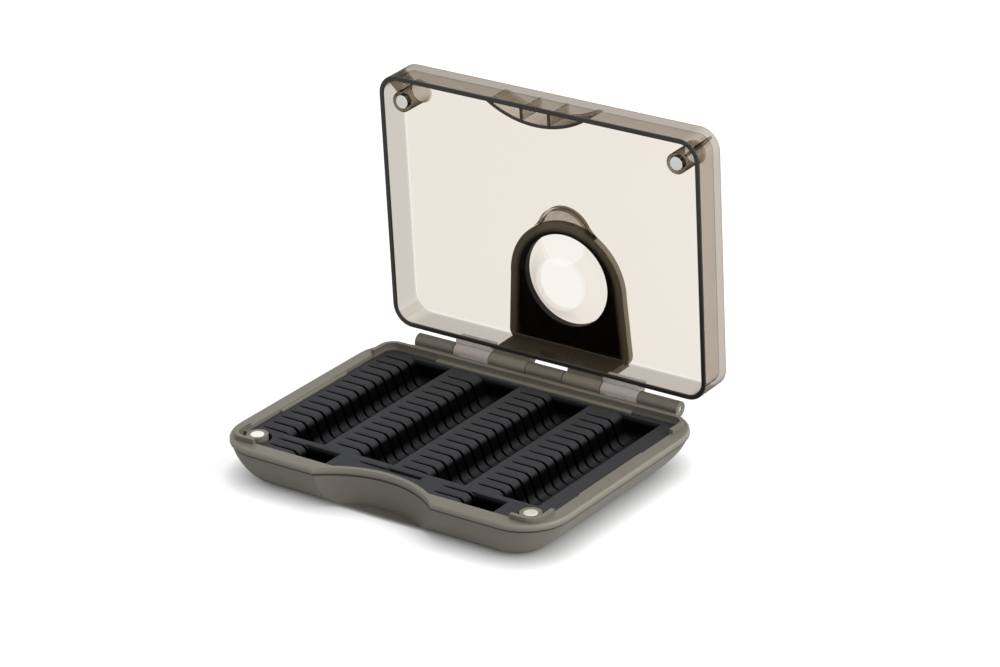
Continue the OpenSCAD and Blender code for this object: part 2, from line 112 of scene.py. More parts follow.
class Graph:
    """A shader node tree that is put together by short calls."""

    def __init__(self, tree: bpy.types.NodeTree) -> None:
        """Takes the tree.

        Args:
            tree: The node tree of a material, a world or a group.
        """
        self.tree = tree

    def feed(self, node: bpy.types.Node, name: str | int, value: object) -> None:
        """Sets an input of a node or links it.

        Args:
            node: The node.
            name: Name or number of the input.
            value: A socket to link, or a value. A colour is given as three numbers.
        """
        socket = node.inputs[name]
        if isinstance(value, bpy.types.NodeSocket):
            self.tree.links.new(value, socket)
        elif socket.type == "RGBA":
            socket.default_value = (*value, 1)
        else:
            socket.default_value = value

    def add(self, kind: str, inputs: dict[str | int, object]) -> bpy.types.Node:
        """Adds a node.

        Args:
            kind: The node's class, without the word ShaderNode at its start.
            inputs: Input name or number to socket or value.

        Returns:
            The node.
        """
        node = self.tree.nodes.new("ShaderNode" + kind)
        for name, value in inputs.items():
            self.feed(node, name, value)
        return node

    def math(self, operation: str, *values: object) -> bpy.types.NodeSocket:
        """Adds a sum.

        Args:
            operation: What is done with the values.
            values: Numbers or sockets.

        Returns:
            The result.
        """
        node = self.add("Math", dict(enumerate(values)))
        node.operation = operation
        return node.outputs[0]

    def limit(self, value: bpy.types.NodeSocket) -> bpy.types.NodeSocket:
        """Keeps a value between 0 and 1.

        Args:
            value: The value.

        Returns:
            The limited value.
        """
        return self.math("MINIMUM", self.math("MAXIMUM", value, 0.0), 1.0)

    def vector(self, operation: str, output: str, *values: object) -> bpy.types.NodeSocket:
        """Adds a sum with vectors.

        Args:
            operation: What is done with the vectors.
            output: Name of the output that is wanted.
            values: Vectors or sockets.

        Returns:
            The result.
        """
        node = self.add("VectorMath", {})
        node.operation = operation
        for place, value in enumerate(values):
            self.feed(node, place, value)
        return node.outputs[output]

    def mix(self, share: object, first: object, second: object) -> bpy.types.NodeSocket:
        """Mixes two colours.

        Args:
            share: Share of the second colour.
            first: First colour, given or linked.
            second: Second colour, given or linked.

        Returns:
            The mixed colour.
        """
        node = self.tree.nodes.new("ShaderNodeMix")
        node.data_type = "RGBA"
        for place, value in ((0, share), (6, first), (7, second)):
            self.feed(node, place, value)
        return node.outputs[2]

    def spread(self, value: object, low: float, high: float) -> bpy.types.NodeSocket:
        """Spreads a value of 0 to 1 over a range.

        Args:
            value: The value.
            low: Result at 0.
            high: Result at 1.

        Returns:
            The result.
        """
        return self.add("MapRange", {"Value": value, "To Min": low, "To Max": high}).outputs[0]

    def ramp(self, share: object, stops: tuple[tuple[float, Colour], ...]) -> bpy.types.NodeSocket:
        """Adds a colour ramp.

        Args:
            share: Place on the ramp.
            stops: Place and colour of each stop, from 0 to 1.

        Returns:
            The colour.
        """
        node = self.add("ValToRGB", {"Fac": share})
        marks = node.color_ramp.elements
        for place, _ in stops[1:-1]:
            marks.new(place)
        for mark, (_, colour) in zip(marks, stops):
            mark.color = (*colour, 1)
        return node.outputs["Color"]

    def shares(self, share: object, stops: Stops) -> bpy.types.NodeSocket:
        """Adds a ramp of plain shares.

        Args:
            share: Place on the ramp.
            stops: Place and share of each stop, from 0 to 1.

        Returns:
            The share.
        """
        return self.ramp(share, tuple((place, (amount,) * 3) for place, amount in stops))

    def group(self, tree: bpy.types.NodeTree, values: dict[str, object]) -> bpy.types.Node:
        """Places a node group.

        Args:
            tree: The group.
            values: Input name to value.

        Returns:
            The group's node.
        """
        node = self.tree.nodes.new("ShaderNodeGroup")
        node.node_tree = tree
        for name, value in values.items():
            self.feed(node, name, value)
        return node

    def bump(self, height: object, strength: float, distance: float) -> bpy.types.NodeSocket:
        """Adds a bump.

        Args:
            height: The height that makes the bumps.
            strength: Strength of the bumps.
            distance: Height of the bumps, in metres.

        Returns:
            The normal.
        """
        node = self.add("Bump", {"Height": height, "Strength": strength, "Distance": distance})
        return node.outputs["Normal"]

    def blend(self, share: object, first: object, second: object) -> bpy.types.NodeSocket:
        """Blends two shaders.

        Args:
            share: Share of the second shader.
            first: First shader.
            second: Second shader.

        Returns:
            The shader.
        """
        return self.add("MixShader", {0: share, 1: first, 2: second}).outputs[0]


def new_group(name: str, inputs: dict[str, object], outputs: tuple[str, ...]
              ) -> tuple[Graph, bpy.types.Node, bpy.types.Node]:
    """Makes an empty node group with named sockets.

    Args:
        name: Name of the group.
        inputs: Socket name to its starting value, a number or a vector.
        outputs: Names of the sockets that it puts out, all numbers.

    Returns:
        The group as a graph, its input node and its output node.
    """
    tree = bpy.data.node_groups.new(name, "ShaderNodeTree")
    for label, value in inputs.items():
        kind = "NodeSocketVector" if isinstance(value, tuple) else "NodeSocketFloat"
        socket = tree.interface.new_socket(name=label, in_out="INPUT", socket_type=kind)
        socket.default_value = value
    for label in outputs:
        tree.interface.new_socket(name=label, in_out="OUTPUT", socket_type="NodeSocketFloat")
    return Graph(tree), tree.nodes.new("NodeGroupInput"), tree.nodes.new("NodeGroupOutput")


def moulded_surface_group() -> bpy.types.NodeTree:
    """Builds the group for a moulded skin: fine grain, slow mottling and dust specks.

    Returns:
        A group with Height, Mottle and Specks outputs.
    """
    noises = {"Grain Scale": 3.0, "Mottle Scale": 4.0, "Speck Scale": 0.0}
    graph, entry, leave = new_group(
        "moulded_surface",
        {"Grain Scale": 900.0, "Mottle Scale": 60.0, "Speck Scale": 2600.0, "Speck Amount": 0.02},
        ("Height", "Mottle", "Specks"),
    )
    place = graph.add("TexCoord", {}).outputs["Object"]
    grain, mottle, specks = (
        graph.add("TexNoise", {"Vector": place, "Scale": entry.outputs[scale], "Detail": detail})
        for scale, detail in noises.items()
    )
    low = graph.math("SUBTRACT", SPECK_START, entry.outputs["Speck Amount"])
    seen = graph.add("MapRange", {
        "Value": specks.outputs["Fac"], "From Min": low, "From Max": SPECK_END,
        "To Min": 0.0, "To Max": 1.0})
    graph.feed(leave, "Height", grain.outputs["Fac"])
    graph.feed(leave, "Mottle", mottle.outputs["Fac"])
    graph.feed(leave, "Specks", seen.outputs["Result"])
    return graph.tree


def depth_group() -> bpy.types.NodeTree:
    """Builds the group that measures the distance below a plane.

    Returns:
        A group with a Depth output, 0 at the plane and 1 at the full drop below it.
    """
    graph, entry, leave = new_group(
        "depth_below", {"Direction": (0.0, 0.0, 1.0), "Plane": 0.0, "Drop": 0.004}, ("Depth",))
    place = graph.add("TexCoord", {}).outputs["Object"]
    along = graph.vector("DOT_PRODUCT", "Value", place, entry.outputs["Direction"])
    below = graph.math("SUBTRACT", entry.outputs["Plane"], along)
    share = graph.math("DIVIDE", below, entry.outputs["Drop"])
    share.node.use_clamp = True
    graph.feed(leave, "Depth", share)
    return graph.tree


def core_group() -> bpy.types.NodeTree:
    """Builds the group that marks the tab's dark core, away from its outline.

    Returns:
        A group with a Core output, 1 on the core and 0 on the border and the outer face.
    """
    graph, entry, leave = new_group(
        "tab_core",
        {"Centre": 0.03687, "Radius": 0.0185, "Splay": 0.07, "Bottom": 0.0172, "Fade": 0.0016},
        ("Core",),
    )
    place = graph.add("TexCoord", {})
    x, _, z = graph.add("SeparateXYZ", {0: place.outputs["Object"]}).outputs
    facing = graph.add("SeparateXYZ", {0: place.outputs["Normal"]}).outputs["Y"]
    above = graph.math("SUBTRACT", z, entry.outputs["Centre"])
    up, down = graph.math("MAXIMUM", above, 0.0), graph.math("MINIMUM", above, 0.0)
    squares = graph.math("ADD", graph.math("MULTIPLY", x, x), graph.math("MULTIPLY", up, up))
    away = graph.math("MULTIPLY_ADD", down, entry.outputs["Splay"], graph.math("SQRT", squares))
    inside = graph.math("SUBTRACT", entry.outputs["Radius"], away)
    core = graph.limit(graph.math("DIVIDE", inside, entry.outputs["Fade"]))
    inner = graph.math("LESS_THAN", facing, 0.5)
    plate = graph.math("GREATER_THAN", z, entry.outputs["Bottom"])
    graph.feed(leave, "Core", graph.math("MULTIPLY", graph.math("MULTIPLY", core, inner), plate))
    return graph.tree


# --- Finishes ---------------------------------------------------------------------------------


class Shading:
    """The node trees that the finishes share, built once."""

    def __init__(self) -> None:
        """Builds the groups."""
        self.skin = moulded_surface_group()
        self.depth = depth_group()
        self.core = core_group()


def new_material(name: str) -> tuple[bpy.types.Material, Graph, bpy.types.Node]:
    """Makes a material.

    Args:
        name: Name of the material.

    Returns:
        The material, its graph and its Principled shader.
    """
    material = bpy.data.materials.new(name)
    material.use_nodes = True
    return material, Graph(material.node_tree), material.node_tree.nodes["Principled BSDF"]


@dataclass(frozen=True)
class MouldedPlastic:
    """Opaque moulded plastic or foam with a grained skin.

    Attributes:
        name: Name of the material.
        colour: Main colour.
        shade: Colour of the darker mottling.
        roughness: Roughness of the skin.
        grain: Strength of the fine grain.
        grain_scale: Number of grains in a metre.
        speck_colour: Colour of the dust specks.
        deep: Colour of the painted shade that the surface takes deep below its plane.
        plane: Height of the plane that the depth starts from.
        drop: Depth that the shares below are spread over. None leaves the painted shade and
            highlight out.
        painted_shade_stops: Places along that depth, and the share of the painted shade at each.
        lip: Places along that depth, and the share of the painted highlight at each.
        painted_highlight_colour: Colour of the painted highlight along the lip.
        gloss: Share of the mirror reflection.
        core: Colour of the tab's core. None leaves it out.
    """

    name: str
    colour: Colour
    shade: Colour
    roughness: float = 0.45
    grain: float = 0.12
    grain_scale: float = 1400.0
    speck_colour: Colour = (0.3, 0.29, 0.26)
    deep: Colour = (0.0, 0.0, 0.0)
    plane: float = 0.0
    drop: float | None = None
    painted_shade_stops: Stops = ((0.0, 0.0), (1.0, 1.0))
    lip: Stops = ()
    painted_highlight_colour: Colour = (0.3, 0.28, 0.24)
    gloss: float = 0.5
    core: Colour | None = None

    def make(self, shading: Shading) -> bpy.types.Material:
        """Builds the material.

        Args:
            shading: The shared node groups.

        Returns:
            The material.
        """
        material, graph, shader = new_material(self.name)
        skin = graph.group(shading.skin, {"Grain Scale": self.grain_scale}).outputs
        tone = graph.mix(skin["Mottle"], self.shade, self.colour)
        tone = graph.mix(skin["Specks"], tone, self.speck_colour)
        shine: object = self.gloss
        # Painted shade below the plane, with the gloss taken out there, and a painted highlight
        # along the lip.
        if self.drop is not None:
            depth = graph.group(shading.depth, {"Plane": self.plane, "Drop": self.drop}).outputs[0]
            painted_shade_share = graph.shares(depth, self.painted_shade_stops)
            tone = graph.mix(painted_shade_share, tone, self.deep)
            shine = graph.spread(painted_shade_share, self.gloss, 0.0)
            if self.lip:
                tone = graph.mix(graph.shares(depth, self.lip), tone, self.painted_highlight_colour)
        if self.core is not None:
            tone = graph.mix(graph.group(shading.core, {}).outputs[0], tone, self.core)
        rough = graph.spread(skin["Mottle"], self.roughness - 0.06, self.roughness + 0.06)
        graph.feed(shader, "Base Color", tone)
        graph.feed(shader, "Roughness", rough)
        graph.feed(shader, "Normal", graph.bump(skin["Height"], self.grain, 0.0001))
        graph.feed(shader, "IOR", PLASTIC_IOR)
        graph.feed(shader, "Specular IOR Level", shine)
        return material


@dataclass(frozen=True)
class ClearPlastic:
    """Clear plastic with a warm smoke tint: light goes straight through and is tinted.

    Attributes:
        name: Name of the material.
        tints: Place on the ramp, from face-on at 0 to edge-on at 1, and the colour that is
            left there at one surface.
        rim_plane: Where the dark cut rim, partly painted shade, ends towards the lid's outer face.
        gloss: Share of the mirror reflection that shows.
        painted_light_discs: Centre along X and Z, radius and lift of the discs where the tint is
            lifted towards white, painted light in the dish and inside the thumb rest.
        haze: Share of a milky scatter in the plastic.
        milk: Colour of that scatter.
        edge: Colour of the cut rim, an opaque dark face: partly the smoke tint absorbed along the
            wall, partly painted shade.
    """

    name: str
    tints: tuple[tuple[float, Colour], ...]
    rim_plane: float = 0.0
    gloss: float = 0.8
    painted_light_discs: tuple[tuple[float, float, float, float], ...] = ()
    haze: float = 0.0
    milk: Colour = (0.62, 0.56, 0.52)
    edge: Colour = srgb(44, 40, 34)

    def make(self, shading: Shading) -> bpy.types.Material:
        """Builds the material.

        Args:
            shading: The shared node groups.

        Returns:
            The material.
        """
        material, graph, shader = new_material(self.name)
        skin = graph.group(shading.skin, {"Grain Scale": 60.0, "Speck Amount": 0.0}).outputs
        graph.feed(shader, "Base Color", (0.02, 0.018, 0.015))
        graph.feed(shader, "IOR", CLEAR_IOR)
        graph.feed(shader, "Normal", graph.bump(skin["Height"], 0.06, 0.0002))
        graph.feed(shader, "Roughness", graph.spread(skin["Mottle"], 0.03, 0.09))
        clear = graph.add("BsdfTransparent", {"Color": self.add_tint(graph)}).outputs[0]
        fresnel = graph.add("Fresnel", {"IOR": CLEAR_IOR}).outputs[0]
        mirror = graph.math("MULTIPLY", fresnel, self.gloss)
        side = graph.add("NewGeometry", {}).outputs["Backfacing"]
        entering = graph.math("MULTIPLY", mirror, graph.math("SUBTRACT", 1.0, side))
        film = graph.blend(entering, clear, shader.outputs[0])
        cloud = graph.add("BsdfDiffuse", {"Color": self.milk}).outputs[0]
        hazy = graph.blend(self.haze, film, cloud)
        # The cut rim is an opaque dark face: partly the tint absorbed along the wall, partly
        # painted shade.
        solid = graph.add("BsdfPrincipled", {"Base Color": self.edge, "Roughness": 0.35})
        rim = graph.group(shading.depth, {
            "Direction": OUTWARD, "Plane": self.rim_plane, "Drop": 0.0001}).outputs[0]
        leave = material.node_tree.nodes["Material Output"]
        graph.feed(leave, "Surface", graph.blend(rim, hazy, solid.outputs[0]))
        return material

    def add_tint(self, graph: Graph) -> bpy.types.NodeSocket:
        """Adds the nodes for the colour that the plastic lets through.

        Args:
            graph: The material's nodes.

        Returns:
            The colour.
        """
        facing = graph.add("LayerWeight", {"Blend": 0.5}).outputs["Facing"]
        tint = graph.ramp(facing, self.tints)
        where = graph.add("TexCoord", {}).outputs["Object"]
        # Painted light: inside each disc the tint is lifted towards white.
        for x, z, radius, lift in self.painted_light_discs:
            flat = graph.vector("MULTIPLY_ADD", "Vector", where, (1, 0, 1), (-x, 0, -z))
            inside = graph.add("MapRange", {
                "Value": graph.vector("LENGTH", "Value", flat),
                "From Min": radius, "From Max": radius - 0.0005, "To Max": lift})
            tint = graph.mix(inside.outputs[0], tint, (1, 1, 1))
        return tint


@dataclass(frozen=True)
class PlatedMetal:
    """Bright plated or drawn metal.

    Attributes:
        name: Name of the material.
        colour: Colour of the metal.
        roughness: Roughness of its surface.
    """

    name: str
    colour: Colour
    roughness: float = 0.22

    def make(self, shading: Shading) -> bpy.types.Material:
        """Builds the material.

        Args:
            shading: The shared node groups.

        Returns:
            The material.
        """
        material, graph, shader = new_material(self.name)
        height = graph.group(shading.skin, {"Grain Scale": 2500.0}).outputs["Height"]
        rough = graph.spread(height, self.roughness - 0.06, self.roughness + 0.1)
        graph.feed(shader, "Base Color", self.colour)
        graph.feed(shader, "Metallic", 1.0)
        graph.feed(shader, "Roughness", rough)
        graph.feed(shader, "Normal", graph.bump(height, 0.08, 0.00005))
        return material


# --- Mesh work --------------------------------------------------------------------------------


def finished_copy(node: bpy.types.Object, name: str, edge: float) -> bpy.types.Object:
    """Copies a CAD solid into a new piece with rounded edges and smooth curves.

    Args:
        node: The CAD node's object.
        name: Name of the new piece.
        edge: Radius of the edge rounding, in metres.

    Returns:
        The new piece.
    """
    mesh = node.data.copy()
    mesh.name = name
    work = bmesh.new()
    work.from_mesh(mesh)
    bmesh.ops.remove_doubles(work, verts=work.verts, dist=1e-6)
    flat = math.radians(1.0)
    bmesh.ops.dissolve_limit(work, angle_limit=flat, verts=work.verts, edges=work.edges)
    for face in work.faces:
        face.smooth = True
    work.to_mesh(mesh)
    work.free()
    mesh.materials.clear()
    piece = bpy.data.objects.new(name, mesh)
    bpy.context.scene.collection.objects.link(piece)
    if edge > 0:
        bevel = piece.modifiers.new("edge_rounding", "BEVEL")
        bevel.width = edge
        bevel.segments = 2
        bevel.limit_method = "ANGLE"
        bevel.angle_limit = math.radians(28)
        bevel.use_clamp_overlap = True
    even = piece.modifiers.new("flat_faces", "WEIGHTED_NORMAL")
    even.mode = "FACE_AREA"
    even.weight = 100
    even.keep_sharp = True
    return piece


def mesh_object(name: str, work: bmesh.types.BMesh) -> bpy.types.Object:
    """Puts a finished bmesh into a new object of the scene.

    Args:
        name: Name of the object.
        work: The mesh data, which is freed.

    Returns:
        The object.
    """
    mesh = bpy.data.meshes.new(name)
    work.to_mesh(mesh)
    work.free()
    thing = bpy.data.objects.new(name, mesh)
    bpy.context.scene.collection.objects.link(thing)
    return thing


def lofted(name: str, levels: list[tuple[float, Outline]]) -> bpy.types.Object:
    """Makes a closed solid through outlines that all have the same number of points.

    Args:
        name: Name of the object.
        levels: Height and outline of each level, from the bottom up.

    Returns:
        The object.
    """
    work = bmesh.new()
    rings = [[work.verts.new((x, y, z)) for x, y in outline] for z, outline in levels]
    count = len(rings[0])
    for low, high in zip(rings, rings[1:]):
        for i in range(count):
            j = (i + 1) % count
            work.faces.new((low[i], low[j], high[j], high[i]))
    work.faces.new(list(reversed(rings[0])))
    work.faces.new(rings[-1])
    bmesh.ops.recalc_face_normals(work, faces=work.faces)
    return mesh_object(name, work)


def round_outline(width: float, depth: float, radius: float, y: float = 0.0,
                  steps: int = 12) -> Outline:
    """Makes a rectangle with round corners.

    Args:
        width: Size along X.
        depth: Size along Y.
        radius: Radius of the corners.
        y: Centre along Y.
        steps: Points on each corner.

    Returns:
        The points, anticlockwise.
    """
    points: Outline = []
    for corner, (sx, sy) in enumerate(((1, 1), (-1, 1), (-1, -1), (1, -1))):
        for i in range(steps):
            a = math.radians(90 * corner + 90 * i / (steps - 1))
            points.append((sx * (width / 2 - radius) + radius * math.cos(a),
                           y + sy * (depth / 2 - radius) + radius * math.sin(a)))
    return points


def disc_outline(x: float, y: float, radius: float, steps: int = 96) -> Outline:
    """Makes a circle.

    Args:
        x: Centre along X.
        y: Centre along Y.
        radius: Radius.
        steps: Number of points.

    Returns:
        The points, anticlockwise.
    """
    turns = [2 * math.pi * i / steps for i in range(steps)]
    return [(x + radius * math.cos(a), y + radius * math.sin(a)) for a in turns]


def ring_at(outline: Outline, z: float) -> list[Vector]:
    """Lifts an outline to a height.

    Args:
        outline: The points.
        z: The height.

    Returns:
        The points in space.
    """
    return [Vector((x, y, z)) for x, y in outline]


def quarter(steps: int) -> Outline:
    """Lists the steps round a quarter circle.

    Args:
        steps: Number of steps.

    Returns:
        1 less the cosine and 1 less the sine of each angle, from 0 to 90 degrees.
    """
    turns = [math.radians(90 * i / steps) for i in range(steps + 1)]
    return [(1 - math.cos(a), 1 - math.sin(a)) for a in turns]


def carve(target: bpy.types.Object, cutters: list[tuple[bpy.types.Object, str]]) -> None:
    """Cuts or clips a solid with others and removes them.

    Args:
        target: The solid that is changed.
        cutters: The other solids, each with the name of its Boolean operation.
    """
    for cutter, operation in cutters:
        step = target.modifiers.new(cutter.name, "BOOLEAN")
        step.operation = operation
        step.solver = "EXACT"
        step.object = cutter
    bpy.context.view_layer.update()
    seen = target.evaluated_get(bpy.context.evaluated_depsgraph_get())
    mesh = bpy.data.meshes.new_from_object(seen)
    target.modifiers.clear()
    target.data = mesh
    for cutter, _ in cutters:
        bpy.data.objects.remove(cutter)


# --- Sub-assemblies ---------------------------------------------------------------------------


@dataclass
class Shot:
    """The camera, placed where the photograph was taken from.

    Attributes:
        azimuth: Angle round the object, in degrees.
        elevation: Angle above the horizon, in degrees.
        roll: Roll of the camera, in degrees.
        focal_px: Focal length, in pixels of a 1000 px wide image.
        place: Position of the camera.
    """

    azimuth: float = 36.1306
    elevation: float = 23.9849
    roll: float = -1.9811
    focal_px: float = 4060.35
    place: tuple[float, float, float] = (0.63146, -0.84346, 0.51101)

    def build(self) -> bpy.types.Object:
        """Makes the camera and sets it as the scene's.

        Returns:
            The camera.
        """
        data = bpy.data.cameras.new("shot")
        data.sensor_width = 36.0
        data.lens = self.focal_px * 36.0 / 1000.0
        data.clip_start, data.clip_end = 0.05, 20.0
        a, e, r = (math.radians(v) for v in (self.azimuth, self.elevation, self.roll))
        back = Vector((math.sin(a) * math.cos(e), -math.cos(a) * math.cos(e), math.sin(e)))
        right = Vector((math.cos(a), math.sin(a), 0.0))
        up = back.cross(right)
        turned_right = math.cos(r) * right + math.sin(r) * up
        turned_up = -math.sin(r) * right + math.cos(r) * up
        turn = Matrix((turned_right, turned_up, back)).transposed()
        camera = bpy.data.objects.new("shot", data)
        bpy.context.scene.collection.objects.link(camera)
        camera.matrix_world = Matrix.Translation(self.place) @ turn.to_4x4()
        bpy.context.scene.camera = camera
        return camera


@dataclass
class Studio:
    """White floor, white surroundings and soft lamps.

    Attributes:
        floor_half: Half of the floor's side.
        floor_lift: Light that the open floor adds to what the camera sees.
        floor_tone: Share of the falling light that the camera sees on the floor.
        contact_reach: Reach of the contact shadow.
        world_light: Strength of the surroundings as a light.
    """

    floor_half: float = 3.0
    floor_lift: float = 0.80
    floor_tone: float = 0.38
    contact_reach: float = 0.008
    world_light: float = 0.38

    def build(self) -> None:
        """Makes the floor, the world and the lamps."""
        self.make_floor()
        self.make_world()
        self.add_lamp("overhead", (0.25, 0.35, 0.9), (0, 0, 0.02), 1.2, 4.6)
        self.add_lamp("right_side", (1.0, 0.1, 0.55), (0, 0, 0.03), 0.8, 6.0)

    def make_floor(self) -> None:
        """Makes the floor, which shows white where no shadow falls."""
        mesh = bpy.data.meshes.new("floor")
        h = self.floor_half
        mesh.from_pydata([(-h, -h, 0), (h, -h, 0), (h, h, 0), (-h, h, 0)], [], [(0, 1, 2, 3)])
        floor = bpy.data.objects.new("floor", mesh)
        bpy.context.scene.collection.objects.link(floor)
        material, graph, shader = new_material("floor_paper")
        seen = graph.add("LightPath", {}).outputs["Is Camera Ray"]
        contact = graph.add("AmbientOcclusion", {"Distance": self.contact_reach}).outputs["AO"]
        lift = graph.math("MULTIPLY", graph.math("MULTIPLY", seen, self.floor_lift), contact)
        graph.feed(shader, "Roughness", 0.9)
        graph.feed(shader, "Specular IOR Level", 0.1)
        graph.feed(shader, "Base Color", graph.mix(seen, (0.9,) * 3, (self.floor_tone,) * 3))
        glow = graph.add("Emission", {"Strength": lift}).outputs[0]
        total = graph.add("AddShader", {0: shader.outputs[0], 1: glow}).outputs[0]
        graph.feed(material.node_tree.nodes["Material Output"], "Surface", total)
        mesh.materials.append(material)

    def make_world(self) -> None:
        """Makes the surroundings: white to look at, softer as a light."""
        world = bpy.data.worlds.new("studio")
        bpy.context.scene.world = world
        world.use_nodes = True
        nodes, graph = world.node_tree.nodes, Graph(world.node_tree)
        light = nodes["Background"]
        graph.feed(light, "Color", WHITE)
        graph.feed(light, "Strength", self.world_light)
        shown = graph.add("Background", {"Color": WHITE, "Strength": 1.0}).outputs[0]
        path = graph.add("LightPath", {}).outputs
        straight = graph.math("MAXIMUM", path["Is Camera Ray"], path["Is Transmission Ray"])
        white = graph.math("MAXIMUM", straight, path["Is Glossy Ray"])
        graph.feed(nodes["World Output"], "Surface", graph.blend(white, light.outputs[0], shown))

    def add_lamp(self, name: str, place: tuple, target: tuple, size: float, power: float) -> None:
        """Adds a square soft lamp.

        Args:
            name: Name of the lamp.
            place: Position of the lamp.
            target: Point that it faces.
            size: Side of the lamp, in metres.
            power: Power, in watts.
        """
        data = bpy.data.lights.new(name, "AREA")
        data.shape = "SQUARE"
        data.size = size
        data.energy = power
        lamp = bpy.data.objects.new(name, data)
        lamp.location = place
        aim = Vector(target) - Vector(place)
        lamp.rotation_mode = "QUATERNION"
        lamp.rotation_quaternion = aim.to_track_quat("-Z", "Y")
        bpy.context.scene.collection.objects.link(lamp)


TINTS = (
    (0.0, (0.895, 0.868, 0.830)),
    (0.3, (0.885, 0.853, 0.812)),
    (0.42, (0.80, 0.765, 0.725)),
    (0.6, (0.72, 0.685, 0.64)),
    (1.0, (0.16, 0.14, 0.12)),
)
SIDE_TINTS = (
    (0.0, (0.72, 0.68, 0.64)),
    (0.45, (0.63, 0.585, 0.54)),
    (0.62, (0.52, 0.485, 0.445)),
    (1.0, (0.16, 0.14, 0.12)),
)
INSIDE_TINTS = (
    (0.0, (0.97, 0.965, 0.955)),
    (0.6, (0.93, 0.92, 0.905)),
    (1.0, (0.5, 0.47, 0.43)),
)
POST_TINTS = (
    (0.0, (0.66, 0.62, 0.57)),
    (0.3, (0.55, 0.51, 0.46)),
    (0.6, (0.36, 0.33, 0.29)),
    (1.0, (0.10, 0.09, 0.08)),
)
# The dark cut rim is partly the tint absorbed along the wall, partly painted shade.
RIM_PLANE = 0.04501  # Where the lid's dark cut rim ends along OUTWARD.

FINISHES: dict[str, MouldedPlastic | ClearPlastic | PlatedMetal] = {
    # The deep colour paints shadow in the groove under the tray's flange, and the paler lip colour
    # paints a highlight along the flange's top edge.
    "olive": MouldedPlastic(
        "olive_plastic", srgb(123, 120, 110), srgb(112, 109, 99), deep=srgb(34, 30, 24),
        plane=0.0124, drop=0.0124,
        painted_shade_stops=((0.0, 0.0), (0.134, 0.0), (0.142, 0.85), (0.185, 0.85), (0.2, 0.1), (1.0, 0.0)),
        lip=((0.0, 0.15), (0.012, 0.75), (0.07, 0.6), (0.1, 0.1), (1.0, 0.0)),
        painted_highlight_colour=srgb(150, 145, 128)),
    # Painted light: a lighter copy of the olive plastic, since the tab sits behind the tinted lid.
    "tab": MouldedPlastic(
        "tab_plastic_lit", srgb(158, 150, 134), srgb(143, 135, 119), core=srgb(17, 15, 12), gloss=0.2),
    # The deep colour paints shade down the walls of the troughs and pockets, with no gloss there.
    "black": MouldedPlastic(
        "black_foam", srgb(60, 61, 64), srgb(49, 50, 53), roughness=0.7, grain=0.35,
        grain_scale=2600.0, speck_colour=(0.06, 0.06, 0.06), deep=(0.0008, 0.0008, 0.0008),
        plane=0.0114, drop=0.0075, gloss=0.2,
        painted_shade_stops=((0.0, 0.0), (0.09, 0.1), (0.2, 0.85), (0.27, 0.96), (0.66, 0.96), (0.8, 0.6),
              (0.93, 0.15), (1.0, 0.5))),
    # Painted shade for the insides of the slits: a darker copy of the black foam.
    "slit": MouldedPlastic(
        "slit_foam_shaded", srgb(14, 14, 15), srgb(9, 9, 10), roughness=0.8, grain=0.3,
        grain_scale=2600.0, speck_colour=(0.005, 0.005, 0.005), gloss=0.0),
    "pad": MouldedPlastic(
        "black_pad", srgb(18, 16, 13), srgb(13, 12, 10), roughness=0.6, grain=0.3,
        grain_scale=2600.0, speck_colour=(0.03, 0.03, 0.03), gloss=0.1),
    # The discs paint light into the dish and inside the thumb rest.
    "clear": ClearPlastic(
        "clear_plastic", TINTS, RIM_PLANE,
        painted_light_discs=((0.0, 0.05273, 0.0084, 0.3), (0.0, 0.03863, 0.0084, 0.4))),
    "clear_knuckle": ClearPlastic("clear_knuckle", TINTS, haze=0.7, milk=(0.88, 0.80, 0.76)),
    "clear_post": ClearPlastic("clear_post", POST_TINTS),
    "clear_side": ClearPlastic("clear_side", SIDE_TINTS, RIM_PLANE),
    "clear_inside": ClearPlastic("clear_inside", INSIDE_TINTS, RIM_PLANE),
    "magnet": PlatedMetal("magnet_plating", (0.90, 0.88, 0.84), 0.3),
    "steel": PlatedMetal("pin_steel", (0.62, 0.61, 0.59), 0.25),
}


def make_finishes() -> dict[str, bpy.types.Material]:
    """Builds every material.

    Returns:
        Finish name to material.
    """
    shading = Shading()
    return {name: finish.make(shading) for name, finish in FINISHES.items()}


@dataclass
class DressedNode:
    """A piece that keeps a CAD node's form and gets rounded edges and a finish.

    Attributes:
        node: Name of the CAD node.
        finish: Name of the finish.
        slot: The record's material slot; not used.
        body: Body that the piece rides on.
        edge: Radius of the edge rounding.
    """

    node: str
    finish: str
    slot: str
    body: Body
    edge: float = 0.0003

    def build(self, nodes: dict[str, bpy.types.Object],
              finishes: dict[str, bpy.types.Material]) -> bpy.types.Object:
        """Makes the piece and puts it in the node's place.

        Args:
            nodes: CAD node name to object.
            finishes: Finish name to material.

        Returns:
            The piece.
        """
        piece = finished_copy(nodes[self.node], self.node + "_finished", self.edge)
        piece.data.materials.append(finishes[self.finish])
        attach(piece, self.body.value)
        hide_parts(self.node)
        return piece


STEP = 0.00002  # From an upright wall to the mesh line on either side of it.
TAPER = 0.0016  # Length of a slit's pointed left end.
LIPS = (1.0, 0.55, 0.2, 0.0)  # Mesh lines beside a slit, as shares of the softened edge.
ACROSS = [(-1, a) for a in (*LIPS, -0.1)] + [(1, a) for a in (-0.1, *reversed(LIPS))]
